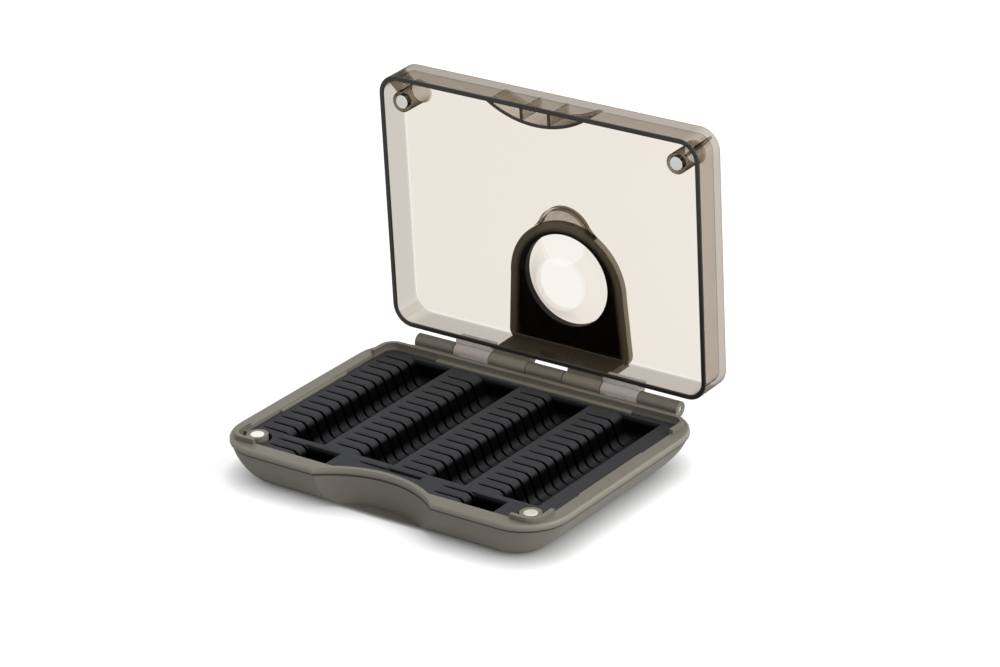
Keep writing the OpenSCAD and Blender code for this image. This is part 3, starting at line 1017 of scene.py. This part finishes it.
# These strips take the slit foam, painted shade for the slit's depth.
INNER = range(3, 6)  # The strips between the lines of ACROSS that lie inside the slit.
END_FALL = 0.0002  # How far the land falls at the end of a trough or pocket.
SIDE_FALL = 0.00018  # How far it falls at their right side.
SLIT_FALL = 0.00022  # How far it falls beside a slit, at most.
SHUT = (0.00003, 0.00012)  # Half width and soft edge of a slit's lines beyond its ends.
LEAST_GAP = 0.000004  # Least distance between two mesh points along Y.


@dataclass(frozen=True)
class HookSlit:
    """One slit that a hook is pushed into.

    Attributes:
        y: Centre of the slit.
        start: Left end, where the slit comes to a point.
        lip: Where the shoulder starts to fall.
        wall: Where the shoulder ends in the wall.
        foot: Where the wall runs out into the hollow foot.
        end: Right end, where the slit comes to a point again.
    """

    y: float
    start: float
    lip: float
    wall: float
    foot: float
    end: float


@dataclass
class SlottedInsert:
    """The soft black insert: long troughs, front pockets and the slits for the hooks.

    Attributes:
        top: Height of its top.
        base: Height of its underside.
        half_width: Half of its width.
        front: Its front edge.
        rear: Its rear edge.
        trough_lefts: Left edge of each trough.
        trough_width: Width of a trough.
        trough_depth: Depth of the troughs and pockets.
        trough_front: Front end of the troughs.
        trough_rear: Rear end of the troughs.
        shoulder: Radius of the troughs' left shoulders.
        foot: Radius of the hollow foot of a trough's left wall.
        foot_end: Where that foot runs out in the floor, from the trough's left edge.
        rise: How far the shoulders' circles stand above the top.
        pocket_lefts: Left edge of each front pocket.
        pocket_width: Width of a pocket.
        pocket_fronts: Front edge of each pocket.
        pocket_rear: Rear edge of the pockets.
        pocket_shoulder: Radius of the pockets' left shoulders.
        pitch: Distance from one slit to the next.
        slit_width: Width of a slit on the land.
        slit_gape: Width of a slit where the fingers end.
        slit_depths: Depth of the slits at their left end and in the trough.
        slit_reach: Length of the slits over the left land.
        trough_margins: Bare length of a trough in front of its first and behind its last slit.
        pocket_margins: The same for a pocket, rear and front.
        pocket_extra: How much further a pocket's slits reach over the land.
        pocket_slit: Lip, wall, foot and end of a pocket's slits, from its left edge.
        soft: Width of the softened edge beside each cut.
        trough_sides: Points of a trough's left side, worked out at the start.
        pocket_sides: Points of a pocket's left side, worked out at the start.
    """

    top: float = 0.0114
    base: float = 0.0014
    half_width: float = 0.05275
    front: float = -0.0375
    rear: float = 0.0371
    trough_lefts: tuple[float, ...] = (-0.04355, -0.0187, 0.00615, 0.0310)
    trough_width: float = 0.0150
    trough_depth: float = 0.0075
    trough_front: float = -0.0265
    trough_rear: float = 0.0353
    shoulder: float = 0.0024
    foot: float = 0.0028
    foot_end: float = 0.0059
    rise: float = 0.00004
    pocket_lefts: tuple[float, ...] = (-0.0340, -0.0048, 0.0244)
    pocket_width: float = 0.0130
    pocket_fronts: tuple[float, ...] = (-0.0362, -0.0304, -0.0362)
    pocket_rear: float = -0.0288
    pocket_shoulder: float = 0.0025
    pitch: float = 0.00415
    slit_width: float = 0.0007
    slit_gape: float = 0.0011
    slit_depths: tuple[float, float] = (0.0045, 0.00738)
    slit_reach: float = 0.0076
    trough_margins: tuple[float, float] = (0.0008, 0.0016)
    pocket_margins: tuple[float, float] = (0.0009, 0.0005)
    pocket_extra: float = 0.001
    pocket_slit: tuple[float, ...] = (-0.0006, 0.0019, 0.0021, 0.0022)
    soft: float = 0.0004
    trough_sides: Outline = field(default_factory=list)
    pocket_sides: Outline = field(default_factory=list)

    def out(self, radius: float) -> float:
        """Gives how far a shoulder's circle reaches over the land at the top.

        Args:
            radius: Radius of the shoulder.

        Returns:
            The distance.
        """
        return math.sqrt(2 * radius * self.rise - self.rise ** 2)

    def slits(self) -> list[HookSlit]:
        """Lists every slit.

        Returns:
            The slits, trough by trough and then pocket by pocket.
        """
        found = []
        out = self.out(self.shoulder)
        front, rear = self.trough_margins
        for k, left in enumerate(self.trough_lefts):
            foot = left + self.foot_end
            y = self.trough_front + front + (k % 2) * self.pitch / 2
            while y <= self.trough_rear - rear:
                found.append(HookSlit(y, left - self.slit_reach, left - out,
                                      left + self.shoulder - out, foot - self.foot, foot + 0.0001))
                y += self.pitch
        rear, front = self.pocket_margins
        for left, low in zip(self.pocket_lefts, self.pocket_fronts):
            start = left - self.slit_reach - self.pocket_extra
            y = self.pocket_rear - rear
            while y >= low + front:
                found.append(HookSlit(y, start, *(left + a for a in self.pocket_slit)))
                y -= self.pitch
        return found

    def opening(self, slit: HookSlit, x: float) -> float:
        """Gives a slit's width at a place along it.

        Args:
            slit: The slit.
            x: Place along X.

        Returns:
            The width, or 0 outside the slit.
        """
        if x < slit.start - 1e-7 or x > slit.end + 1e-7:
            return 0.0
        narrow, wide = self.slit_width, self.slit_gape
        first, last = 0.0002, 0.00015
        if x < slit.start + TAPER:
            return first + (narrow - first) * (x - slit.start) / TAPER
        if x < slit.lip:
            return narrow
        if x < slit.wall:
            return narrow + (wide - narrow) * (x - slit.lip) / (slit.wall - slit.lip)
        if x < slit.foot:
            return wide
        share = (slit.end - x) / (slit.end - slit.foot)
        return last + (wide - last) * max(share, 0.0)

    def slit_floor(self, slit: HookSlit, x: float) -> float:
        """Gives a slit's depth at a place along it.

        Args:
            slit: The slit.
            x: Place along X.

        Returns:
            The depth below the top.
        """
        share = min(max((x - slit.start) / (slit.lip - slit.start), 0.0), 1.0)
        return self.slit_depths[0] + share * (self.slit_depths[1] - self.slit_depths[0])

    def shoulder_arc(self, radius: float) -> Outline:
        """Lists the points of a rounded shoulder.

        Args:
            radius: Radius of the shoulder.

        Returns:
            Distance from the left edge and drop below the top at each point.
        """
        out = self.out(radius)
        first = math.degrees(math.asin(out / radius))
        points = []
        for i in range(11):
            a = math.radians(first + (90 - first) * i / 10)
            points.append((radius * math.sin(a) - out, radius - self.rise - radius * math.cos(a)))
        return points

    def trough_profile(self) -> Outline:
        """Lists the points of a trough's left side: shoulder, steep wall and hollow foot.

        Returns:
            Distance from the left edge and drop below the top at each point.
        """
        points = self.shoulder_arc(self.shoulder)[:-1]
        for i in range(10):
            b = math.radians(12 + 78 * i / 9)
            points.append((self.foot_end - self.foot * math.cos(b),
                           self.trough_depth - self.foot * (1 - math.sin(b))))
        return points

    def pocket_profile(self) -> Outline:
        """Lists the points of a front pocket's left side.

        Returns:
            Distance from the left edge and drop below the top at each point.
        """
        points = self.shoulder_arc(self.pocket_shoulder)
        return points + [(points[-1][0] + 0.00003, self.trough_depth)]

    def fall(self, profile: Outline, width: float, away: float) -> float:
        """Gives the drop at a place across a trough or pocket.

        Args:
            profile: Points of its left side.
            width: Its width.
            away: Distance from its left edge.

        Returns:
            The depth below the top.
        """
        if away <= profile[0][0] or away >= width + self.soft:
            return 0.0
        if away >= width:
            return SIDE_FALL * (1 - (away - width) / self.soft) ** 2
        for (x0, d0), (x1, d1) in zip(profile, profile[1:]):
            if away <= x1:
                return d0 + (d1 - d0) * (away - x0) / (x1 - x0)
        return self.trough_depth

    def drop(self, x: float, y: float) -> float:
        """Gives the depth of the troughs and pockets at a place, without the slits.

        Args:
            x: Place along X.
            y: Place along Y.

        Returns:
            The depth below the top.
        """
        deepest = 0.0
        if self.trough_front <= y <= self.trough_rear:
            for left in self.trough_lefts:
                deepest = max(deepest, self.fall(self.trough_sides, self.trough_width, x - left))
        if y <= self.pocket_rear:
            for left, low in zip(self.pocket_lefts, self.pocket_fronts):
                if y >= low:
                    here = self.fall(self.pocket_sides, self.pocket_width, x - left)
                    deepest = max(deepest, here)
        return deepest

    def columns(self) -> list[float]:
        """Lists the places along X that the mesh needs.

        Returns:
            The places in order.
        """
        soft, places = self.soft, [-self.half_width, self.half_width]
        trough = (self.trough_width, self.slit_reach, self.trough_sides, (0.0001, 0.00012))
        pocket = (self.pocket_width, self.slit_reach + self.pocket_extra, self.pocket_sides,
                  (0.00025, 0.0003))
        sides = [(left, *trough) for left in self.trough_lefts]
        sides += [(left, *pocket) for left in self.pocket_lefts]
        for left, width, reach, profile, tail in sides:
            places += [left - reach + a for a in (-STEP, 0.0, 0.0005, TAPER, 0.0024)]
            places += [left + away for away, _ in profile]
            places += [left + profile[-1][0] + a for a in tail]
            places += [left + width + a for a in (-STEP, 0.0, 0.3 * soft, 0.6 * soft, soft)]
        kept: list[float] = []
        for x in sorted(places):
            if not kept or x - kept[-1] > 0.000012:
                kept.append(x)
        return kept

    def lines(self, rows: dict[float, list[HookSlit]]) -> list[tuple[float, float | None, int]]:
        """Lists the lines along X that the mesh needs, from front to rear.

        Args:
            rows: The slits at each place along Y.

        Returns:
            Place of each line, its row of slits or None, and its number in ACROSS.
        """
        soft, front, rear, back = self.soft, self.trough_front, self.trough_rear, self.pocket_rear
        fixed = [self.front, self.rear, front - soft, front - soft / 3, front - STEP,
                 front + STEP, rear - STEP, rear + STEP, rear + soft / 3, rear + soft,
                 back - STEP, back + STEP, back + soft / 2, back + soft]
        for low in sorted(set(self.pocket_fronts)):
            fixed += [low - soft, low - soft / 2, low - STEP, low + STEP]
        found: list[tuple[float, float | None, int]] = [(y, None, 0) for y in fixed]
        for key in rows:
            found += [(key + side * (0.0003 + 0.00001 * abs(n - 4.5)), key, n)
                      for n, (side, _) in enumerate(ACROSS)]
        return sorted(found, key=lambda line: line[0])

    def slit_point(self, x: float, row: float, place: int, gap: float,
                   floor: float) -> tuple[float, float]:
        """Gives a mesh point beside or in a slit. A line past the slit's end is drawn together.

        Args:
            x: Place along X.
            row: Centre of the slit along Y.
            place: Number of the line in ACROSS.
            gap: Width of the slit here, or 0.
            floor: Depth of the slit here.

        Returns:
            Place along Y and height.
        """
        side, lip = ACROSS[place]
        half, soft = (gap / 2, self.soft) if gap > 0 else SHUT
        y = row + side * (half + (lip * soft if lip >= 0 else -0.3 * min(half, 0.00006)))
        z = self.top - self.drop(x, y)
        if gap > 0 and lip < 0:
            z = min(z, self.top - floor)
        elif gap > 0:
            z -= min(SLIT_FALL, gap / 2) * (1 - lip) ** 2
        return y, z

    def build_solid(self) -> bpy.types.Object:
        """Makes the closed solid between the slotted top and a flat base.

        Returns:
            The object.
        """
        self.trough_sides = self.trough_profile()
        self.pocket_sides = self.pocket_profile()
        rows: dict[float, list[HookSlit]] = {}
        for slit in self.slits():
            key = next((y for y in rows if abs(y - slit.y) < 1e-6), slit.y)
            rows.setdefault(key, []).append(slit)
        lines = self.lines(rows)
        work = bmesh.new()
        grid, widths = [], []
        for x in self.columns():
            wide, floor = {}, {}
            for key, members in rows.items():
                wide[key], floor[key] = max(
                    (self.opening(s, x), self.slit_floor(s, x)) for s in members)
            column, last = [], -1.0
            for y, key, n in lines:
                if key is None:
                    z = self.top - self.drop(x, y) - self.end_lip(x, y)
                else:
                    y, z = self.slit_point(x, key, n, wide[key], floor[key])
                last = max(y, last + LEAST_GAP)
                column.append(work.verts.new((x, last, z)))
            grid.append(column)
            widths.append(wide)
        for left, right, before, after in zip(grid, grid[1:], widths, widths[1:]):
            for i in range(len(left) - 1):
                face = work.faces.new((left[i], right[i], right[i + 1], left[i + 1]))
                _, key, place = lines[i]
                # Painted shade: the slit's walls and floor take the darker slit foam.
                if key is not None and place in INNER and min(before[key], after[key]) > 0:
                    face.material_index = 1
        self.close(work, grid)
        return mesh_object("insert_solid", work)

    def end_lip(self, x: float, y: float) -> float:
        """Gives how far the top is softened in front of and behind a trough or pocket.

        Args:
            x: Place along X.
            y: Place along Y.

        Returns:
            The drop below the top.
        """
        for edge, sign in ((self.trough_front, -1), (self.trough_rear, 1), (self.pocket_rear, 1),
                           *((low, -1) for low in set(self.pocket_fronts))):
            away = (y - edge) * sign
            if 0 <= away < self.soft and self.drop(x, edge - sign * 0.0001) > 0.001:
                if self.drop(x, y) < 0.00019:
                    return END_FALL * (1 - away / self.soft) ** 2
        return 0.0

    def close(self, work: bmesh.types.BMesh, grid: list[list]) -> None:
        """Closes the slotted top with side walls and a flat base.

        Args:
            work: The mesh.
            grid: The vertices of the top, column by column.
        """
        rim = [column[0] for column in grid] + grid[-1][1:]
        rim += [column[-1] for column in reversed(grid[:-1])] + list(reversed(grid[0][1:-1]))
        low = [work.verts.new((v.co.x, v.co.y, self.base - 0.0005)) for v in rim]
        count = len(rim)
        for i in range(count):
            j = (i + 1) % count
            work.faces.new((rim[i], low[i], low[j], rim[j]))
        work.faces.new(list(reversed(low)))
        bmesh.ops.recalc_face_normals(work, faces=work.faces)

    def tray_room(self) -> bpy.types.Object:
        """Makes the solid of the tray's inside.

        Returns:
            The object.
        """
        width, depth, corner, inset = 115.5, 85.0, 14.0, 2.4  # Of the tray, in mm.
        levels = []
        for z, side, front, rear in ((self.base, 9.5, 8.5, 10.0), (0.0033, 5.53, 2.17, 5.3),
                                     (0.0061, 2.47, 0.57, 2.1), (0.0100, 0.0, 0.0, 0.0),
                                     (0.014, 0.0, 0.0, 0.0)):
            levels.append((z, round_outline(
                (width - 2 * (inset + side)) / 1000, (depth - 2 * inset - front - rear) / 1000,
                max(corner - inset - front, 3.0) / 1000, (front - rear) / 2000)))
        return lofted("insert_body", levels)

    def build(self, finishes: dict[str, bpy.types.Material]) -> bpy.types.Object:
        """Makes the insert, trims it to the tray's inside and dresses it.

        Args:
            finishes: Finish name to material.

        Returns:
            The piece.
        """
        piece = self.build_solid()
        piece.name = "slotted_insert_finished"
        for finish in ("black", "slit"):
            piece.data.materials.append(finishes[finish])
        low, high = -0.001, 0.02
        ring = disc_outline(0.0, -0.0667, 0.0337, 160)
        scoop = lofted("insert_scoop", [(z, ring) for z in (low, high)])
        cutters = [(self.tray_room(), "INTERSECT"), (scoop, "DIFFERENCE")]
        for side in (-1, 1):
            x, y, front, far = side * 0.04795, -0.0327, -0.0425, side * 0.08
            ring = disc_outline(x, y, 0.0042, 48)
            boss = lofted(f"boss_room_{side + 1}", [(z, ring) for z in (low, high)])
            corner = [(x, front), (far, front), (far, y), (x, y)]
            room = lofted(f"corner_room_{side + 1}", [(z, corner) for z in (-0.0011, 0.0201)])
            cutters += [(boss, "DIFFERENCE"), (room, "DIFFERENCE")]
        carve(piece, cutters)
        for face in piece.data.polygons:
            face.use_smooth = True
        piece.data.set_sharp_from_angle(angle=math.radians(42))
        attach(piece, Body.TRAY.value)
        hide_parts("slotted_insert")
        return piece


GUARD = 0.0002  # From a rounding to the ring that keeps the face beside it flat.
BLEND = 0.00007  # How far the rounding at the dish's edges falls.


@dataclass
class ClearLid:
    """The clear lid, built closed and then turned open with its body.

    Attributes:
        width: Width of the lid.
        depth: Depth of the lid.
        corner: Radius of its corners in plan.
        rim: Height of its rim.
        face: Height of its outer face.
        panel: Thickness of the panel.
        wall: Thickness of the wall.
        edge: Rounding of the outer edge.
        fillet: Rounding between the wall and the panel inside.
        axis: Hinge axis along Y and Z.
        angle: Angle that the lid is open, in degrees.
        post: Centre of the right post along X and Y.
        post_radius: Radius of a post.
        post_end: Height of a post's free end.
        magnet_room: Radius and depth of the room for a magnet.
        dish: Centre along Y, outer radius, floor radius and depth of the dish.
        rest: Centre along Y, radius, wall and height of the thumb rest.
        tip: Centre along Y and radius of the room for the tab's tip.
        scoop: Centre along Y and radius of the thumb wall.
        thumb_wall: Thickness of the thumb wall.
        rib: Distance from the centre and thickness of the ribs behind it.
        flare: Angle where the rest's flare begins, its end along X, and its bend.
        knuckles: Inner and outer end of a knuckle along X.
        knuckle_radius: Radius of the knuckles.
        bore: Radius of their bore.
    """

    width: float = 0.1117
    depth: float = 0.0812
    corner: float = 0.0065
    rim: float = 0.01255
    face: float = 0.02415
    panel: float = 0.0014
    wall: float = 0.0015
    edge: float = 0.0008
    fillet: float = 0.0007
    axis: tuple[float, float] = (0.0444, 0.01274)
    angle: float = 88.34
    post: tuple[float, float] = (0.04795, -0.0327)
    post_radius: float = 0.0032
    post_end: float = 0.0128
    magnet_room: tuple[float, float] = (0.00215, 0.0020)
    dish: tuple[float, float, float, float] = (0.0188, 0.0134, 0.0084, 0.0017)
    rest: tuple[float, float, float, float] = (0.0047, 0.0093, 0.0009, 0.0019)
    tip: tuple[float, float] = (0.0206, 0.02035)
    scoop: tuple[float, float] = (-0.0667, 0.0319)
    thumb_wall: float = 0.0010
    rib: tuple[float, float] = (0.0048, 0.0008)
    flare: tuple[float, float, float, float] = (-26.0, 0.01086, 0.00921, 0.00236)
    knuckles: tuple[float, float] = (0.02015, 0.03285)
    knuckle_radius: float = 0.0023
    bore: float = 0.00095

    def band(self, work: bmesh.types.BMesh, rings: list[list[Vector]], shut: bool = False,
             first: bool = False, last: bool = False) -> None:
        """Adds faces between rings of equal length.

        Args:
            work: The mesh.
            rings: The rings, each a closed loop of points.
            shut: Whether the last ring joins the first.
            first: Whether the first ring is filled.
            last: Whether the last ring is filled.
        """
        made = [[work.verts.new(p) for p in ring] for ring in rings]
        pairs = list(zip(made, made[1:])) + ([(made[-1], made[0])] if shut else [])
        for one, two in pairs:
            count = len(one)
            for i in range(count):
                j = (i + 1) % count
                work.faces.new((one[i], one[j], two[j], two[i]))
        if first:
            work.faces.new(list(reversed(made[0])))
        if last:
            work.faces.new(made[-1])

    def frame_ring(self, inset: float, z: float) -> list[Vector]:
        """Makes a ring that follows the lid's outline.

        Args:
            inset: How far it lies inside the outline.
            z: Its height.

        Returns:
            The points.
        """
        radius = max(self.corner - inset, 0.0012)
        outline = round_outline(self.width - 2 * inset, self.depth - 2 * inset, radius, 0.0, 14)
        return ring_at(outline, z)

    def disc_ring(self, radius: float, z: float) -> list[Vector]:
        """Makes a ring round the dish, with its points in line with the outline's.

        Args:
            radius: Its radius.
            z: Its height.

        Returns:
            The points.
        """
        y = self.dish[0]
        ring = []
        for i in range(56):
            corner, step = divmod(i, 14)
            a = math.radians(90 * corner + 9 + 72 * step / 13)
            ring.append(Vector((radius * math.cos(a), y + radius * math.sin(a), z)))
        return ring

    def add_shell(self, work: bmesh.types.BMesh) -> None:
        """Adds the wall, the panel and the dish.

        Args:
            work: The mesh.
        """
        under, soft = self.face - self.panel, 0.00025
        _, outer, floor, depth = self.dish
        rim, wall, fillet, edge, face = self.rim, self.wall, self.fillet, self.edge, self.face
        disc, frame = self.disc_ring, self.frame_ring
        rings = [disc(floor + a, under - depth + b)
                 for a, b in ((-0.0001, 0.0), (0.0, 0.0), (0.0003, BLEND))]
        rings += [disc(outer + a, under - b)
                  for a, b in ((-0.0003, BLEND), (0.0001, 0.0), (0.0003, 0.0))]
        rings.append(frame(wall + fillet + GUARD, under))
        rings += [frame(wall + fillet * s, under - fillet * c) for c, s in quarter(5)]
        rings.append(frame(wall, rim + soft + GUARD))
        rings += [frame(wall - soft * c, rim + soft * s) for c, s in quarter(3)]
        rings += [frame(soft * c, rim + soft * s) for c, s in reversed(quarter(3))]
        rings += [frame(0.0, rim + soft + GUARD), frame(0.0, face - edge - GUARD)]
        rings += [frame(edge * c, face - edge * s) for c, s in quarter(6)]
        rings.append(frame(edge + GUARD, face))
        rings += [disc(outer - a, face - b)
                  for a, b in ((0.0007, 0.0), (0.0009, 0.0), (0.0013, BLEND))]
        rings += [disc(floor - a, face - depth + b)
                  for a, b in ((0.0007, BLEND), (0.001, 0.0), (0.0011, 0.0))]
        self.band(work, rings, first=True, last=True)

    def add_post(self, work: bmesh.types.BMesh, side: int) -> None:
        """Adds a post for a magnet, with the web into the lid's corner.

        Args:
            work: The mesh.
            side: 1 for the right post and -1 for the left.
        """
        x, y = side * self.post[0], self.post[1]
        under, end, r = self.face - self.panel, self.post_end, self.post_radius
        room, deep = self.magnet_room
        sizes = [(r + 0.0005, under), (r + 0.00022, under - 0.0001),
                 (r + 0.00006, under - 0.0003), (r, under - 0.0006), (r, end + 0.0004),
                 (r, end + 0.0002), (r - 0.00006, end + 0.00006), (r - 0.0002, end),
                 (room + 0.00015, end), (room + 0.00004, end + 0.00004),
                 (room, end + 0.00015), (room, end + deep)]
        rings = [ring_at(disc_outline(x, y, radius, 40), z) for radius, z in sizes]
        self.band(work, rings, last=True)
        across, low = 0.0004, self.rim + 0.0019
        reach = (self.width / 2 - self.wall - self.post[0]) * math.sqrt(2) - 0.0009
        ax, ay = side * math.sqrt(0.5), -math.sqrt(0.5)
        nx, ny = -ay * across, ax * across
        outline: Outline = []
        for away, turn in ((r - 0.0001, 1), (reach, -1)):
            px, py = x + ax * away, y + ay * away
            outline += [(px + turn * nx, py + turn * ny), (px - turn * nx, py - turn * ny)]
        self.band(work, [ring_at(outline, z) for z in (low, under)], first=True)

    def add_thumb_wall(self, work: bmesh.types.BMesh) -> None:
        """Adds the curved wall behind the thumb scoop and its two ribs.

        Args:
            work: The mesh.
        """
        y0, radius = self.scoop
        t, under = self.thumb_wall, self.face - self.panel
        inner = -self.depth / 2 + self.wall
        levels = ((0.0002, self.rim), (0.00006, self.rim + 0.00006), (0.0, self.rim + 0.0002),
                  (0.0, self.rim + 0.0004), (0.0, under))

        def arc(reach: float, side: int) -> Outline:
            half = math.acos((inner - 0.0002 - y0) / reach)
            turns = [side * half * (i / 16 - 1) for i in range(33)]
            return [(reach * math.sin(a), y0 + reach * math.cos(a)) for a in turns]

        self.band(work, [ring_at(arc(radius + t / 2 - soft, 1) + arc(radius - t / 2 + soft, -1), z)
                         for soft, z in levels], first=True)
        place, thick = self.rib
        for side in (-1, 1):
            x = side * place
            far = y0 + math.sqrt((radius - t / 2) ** 2 - x * x) + 0.0001
            left, right = x - thick / 2, x + thick / 2
            outline = [(left, inner), (right, inner), (right, far), (left, far)]
            self.band(work, [ring_at(outline, z) for z in (self.rim, under)], first=True)

    def rest_outline(self, soft: float) -> Outline:
        """Makes the plan of the thumb rest's curb, which flares into the room for the tab.

        Args:
            soft: How far the outline is drawn in.

        Returns:
            The points.
        """
        y0, radius, wall, _ = self.rest
        tip_y, tip_r = self.tip
        outer, inner, tip = radius - soft, radius - wall + soft, tip_r + soft

        def crossing(r: float) -> tuple[float, float]:
            gap = tip_y - y0
            along = (r * r - tip * tip + gap * gap) / (2 * gap)
            return math.sqrt(r * r - along * along), y0 + along

        in_x, in_y = crossing(inner)
        degrees, end_x, bend_x, bend_y = self.flare
        low, end_x = math.radians(degrees), end_x - soft
        start = (outer * math.cos(low), y0 + outer * math.sin(low))
        end = (end_x, tip_y - math.sqrt(tip * tip - end_x * end_x))
        bend = (bend_x - soft * 0.5, bend_y)
        right: Outline = []
        for i in range(9):
            u = i / 8
            right.append(tuple((1 - u) ** 2 * s + 2 * u * (1 - u) * m + u * u * e
                               for s, m, e in zip(start, bend, end)))
        for i in range(1, 6):
            x = end[0] + (in_x - end[0]) * i / 5
            right.append((x, tip_y - math.sqrt(tip * tip - x * x)))
        first = math.atan2(in_y - y0, in_x)
        inner_arc = [(inner * math.cos(a), y0 + inner * math.sin(a))
                     for a in (first + (-math.pi - 2 * first) * i / 40 for i in range(1, 40))]
        outer_arc = [(outer * math.cos(a), y0 + outer * math.sin(a))
                     for a in (-math.pi - low + (math.pi + 2 * low) * i / 40 for i in range(1, 40))]
        left = [(-x, y) for x, y in reversed(right)]
        return right + inner_arc + left + outer_arc

    def add_rest(self, work: bmesh.types.BMesh) -> None:
        """Adds the curb of the thumb rest to the outer face.

        Args:
            work: The mesh.
        """
        top = self.face + self.rest[3]
        levels = ((0.0, self.face - 0.0001), (0.0, top - 0.0004), (0.0, top - 0.0002),
                  (0.00006, top - 0.00006), (0.0002, top))
        self.band(work, [ring_at(self.rest_outline(soft), z) for soft, z in levels], last=True)

    def add_knuckle(self, work: bmesh.types.BMesh, side: int) -> None:
        """Adds a knuckle and the arm that carries it.

        Args:
            work: The mesh.
            side: 1 for the right knuckle and -1 for the left.
        """
        ay, az = self.axis
        a, b = sorted(side * x for x in self.knuckles)
        r, bore, soft = self.knuckle_radius, self.bore, 0.00025

        def ring(x: float, radius: float) -> list[Vector]:
            return [Vector((x, ay + radius * math.cos(2 * math.pi * i / 40),
                            az + radius * math.sin(2 * math.pi * i / 40))) for i in range(40)]

        steps = ((0.0, bore), (0.0, r - soft), (0.3 * soft, r - 0.3 * soft), (soft, r),
                 (2 * soft, r))
        rings = [ring(a + x, radius) for x, radius in steps]
        rings += [ring(b - x, radius) for x, radius in reversed(steps)]
        self.band(work, rings, shut=True)
        rear = self.depth / 2 - 0.0003
        view = [(rear, self.rim), (ay, self.rim), (ay, az + r - 0.00001), (rear, az + r + 0.0012)]
        rings = [[Vector((x, y, z)) for y, z in view] for x in (a, b)]
        self.band(work, rings, first=True, last=True)

    def faces_out(self, face: bmesh.types.BMFace) -> bool:
        """Tells an outer face of the wall from an inner one.

        Args:
            face: A face of the wall, while the lid is closed.

        Returns:
            Whether the face looks away from the middle of the lid.
        """
        middle = face.calc_center_median()
        return middle.x * face.normal.x + middle.y * face.normal.y > 0

    def build(self, finishes: dict[str, bpy.types.Material]) -> bpy.types.Object:
        """Makes the lid and dresses it.

        Args:
            finishes: Finish name to material.

        Returns:
            The piece.
        """
        work = bmesh.new()
        self.add_shell(work)
        shell = len(work.faces)
        for side in (-1, 1):
            self.add_post(work, side)
        self.add_rest(work)
        posts = len(work.faces)
        self.add_thumb_wall(work)
        plain = len(work.faces)
        for side in (-1, 1):
            self.add_knuckle(work, side)
        work.faces.ensure_lookup_table()
        for face in work.faces[plain:]:
            face.material_index = 1
        for face in work.faces[shell:posts]:
            face.material_index = 2
        for face in work.faces:
            face.smooth = True
        bmesh.ops.recalc_face_normals(work, faces=work.faces)
        for face in work.faces[:shell]:
            middle = face.calc_center_median()
            inset = min(self.width / 2 - abs(middle.x), self.depth / 2 - abs(middle.y))
            if abs(face.normal.z) < 0.7 and inset < self.wall + self.fillet:
                face.material_index = 3 if self.faces_out(face) else 4
        piece = mesh_object("lid_finished", work)
        ay, az = self.axis
        turn = Matrix.Rotation(math.radians(-self.angle), 4, "X")
        to_axis, back = Matrix.Translation((0, -ay, -az)), Matrix.Translation((0, ay, az))
        piece.data.transform(back @ turn @ to_axis)
        piece.data.set_sharp_from_angle(angle=math.radians(35))
        for finish in ("clear", "clear_knuckle", "clear_post", "clear_side", "clear_inside"):
            piece.data.materials.append(finishes[finish])
        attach(piece, Body.LID.value)
        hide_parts("lid")
        return piece


def main() -> None:
    """Builds the studio and every piece in order."""
    logging.basicConfig(level=logging.INFO, format="%(name)s: %(message)s")
    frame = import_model()
    bpy.context.scene.view_settings.view_transform = "Standard"
    Shot().build()
    Studio().build()
    finishes = make_finishes()
    made = [SlottedInsert().build(finishes), ClearLid().build(finishes)]
    dressed = [
        DressedNode("base_tray", "olive", "olive_plastic", Body.TRAY, 0.0003),
        DressedNode("hang_tab", "tab", "olive_plastic", Body.TAB, 0.0003),
        DressedNode("tab_pad", "pad", "black_insert", Body.TAB, 0.0001),
        DressedNode("hinge_pin", "steel", "pin_steel", Body.TRAY, 0.0001),
        DressedNode("tray_magnet_left", "magnet", "magnet_nickel", Body.TRAY, 0.0002),
        DressedNode("tray_magnet_right", "magnet", "magnet_nickel", Body.TRAY, 0.0002),
        DressedNode("lid_magnet_left", "magnet", "magnet_nickel", Body.LID, 0.0002),
        DressedNode("lid_magnet_right", "magnet", "magnet_nickel", Body.LID, 0.0002),
    ]
    made += [piece.build(frame["nodes"], finishes) for piece in dressed]
    for piece in made:
        LOG.info("%s: %d faces", piece.name, len(piece.data.polygons))


if __name__ == "__main__":
    main()
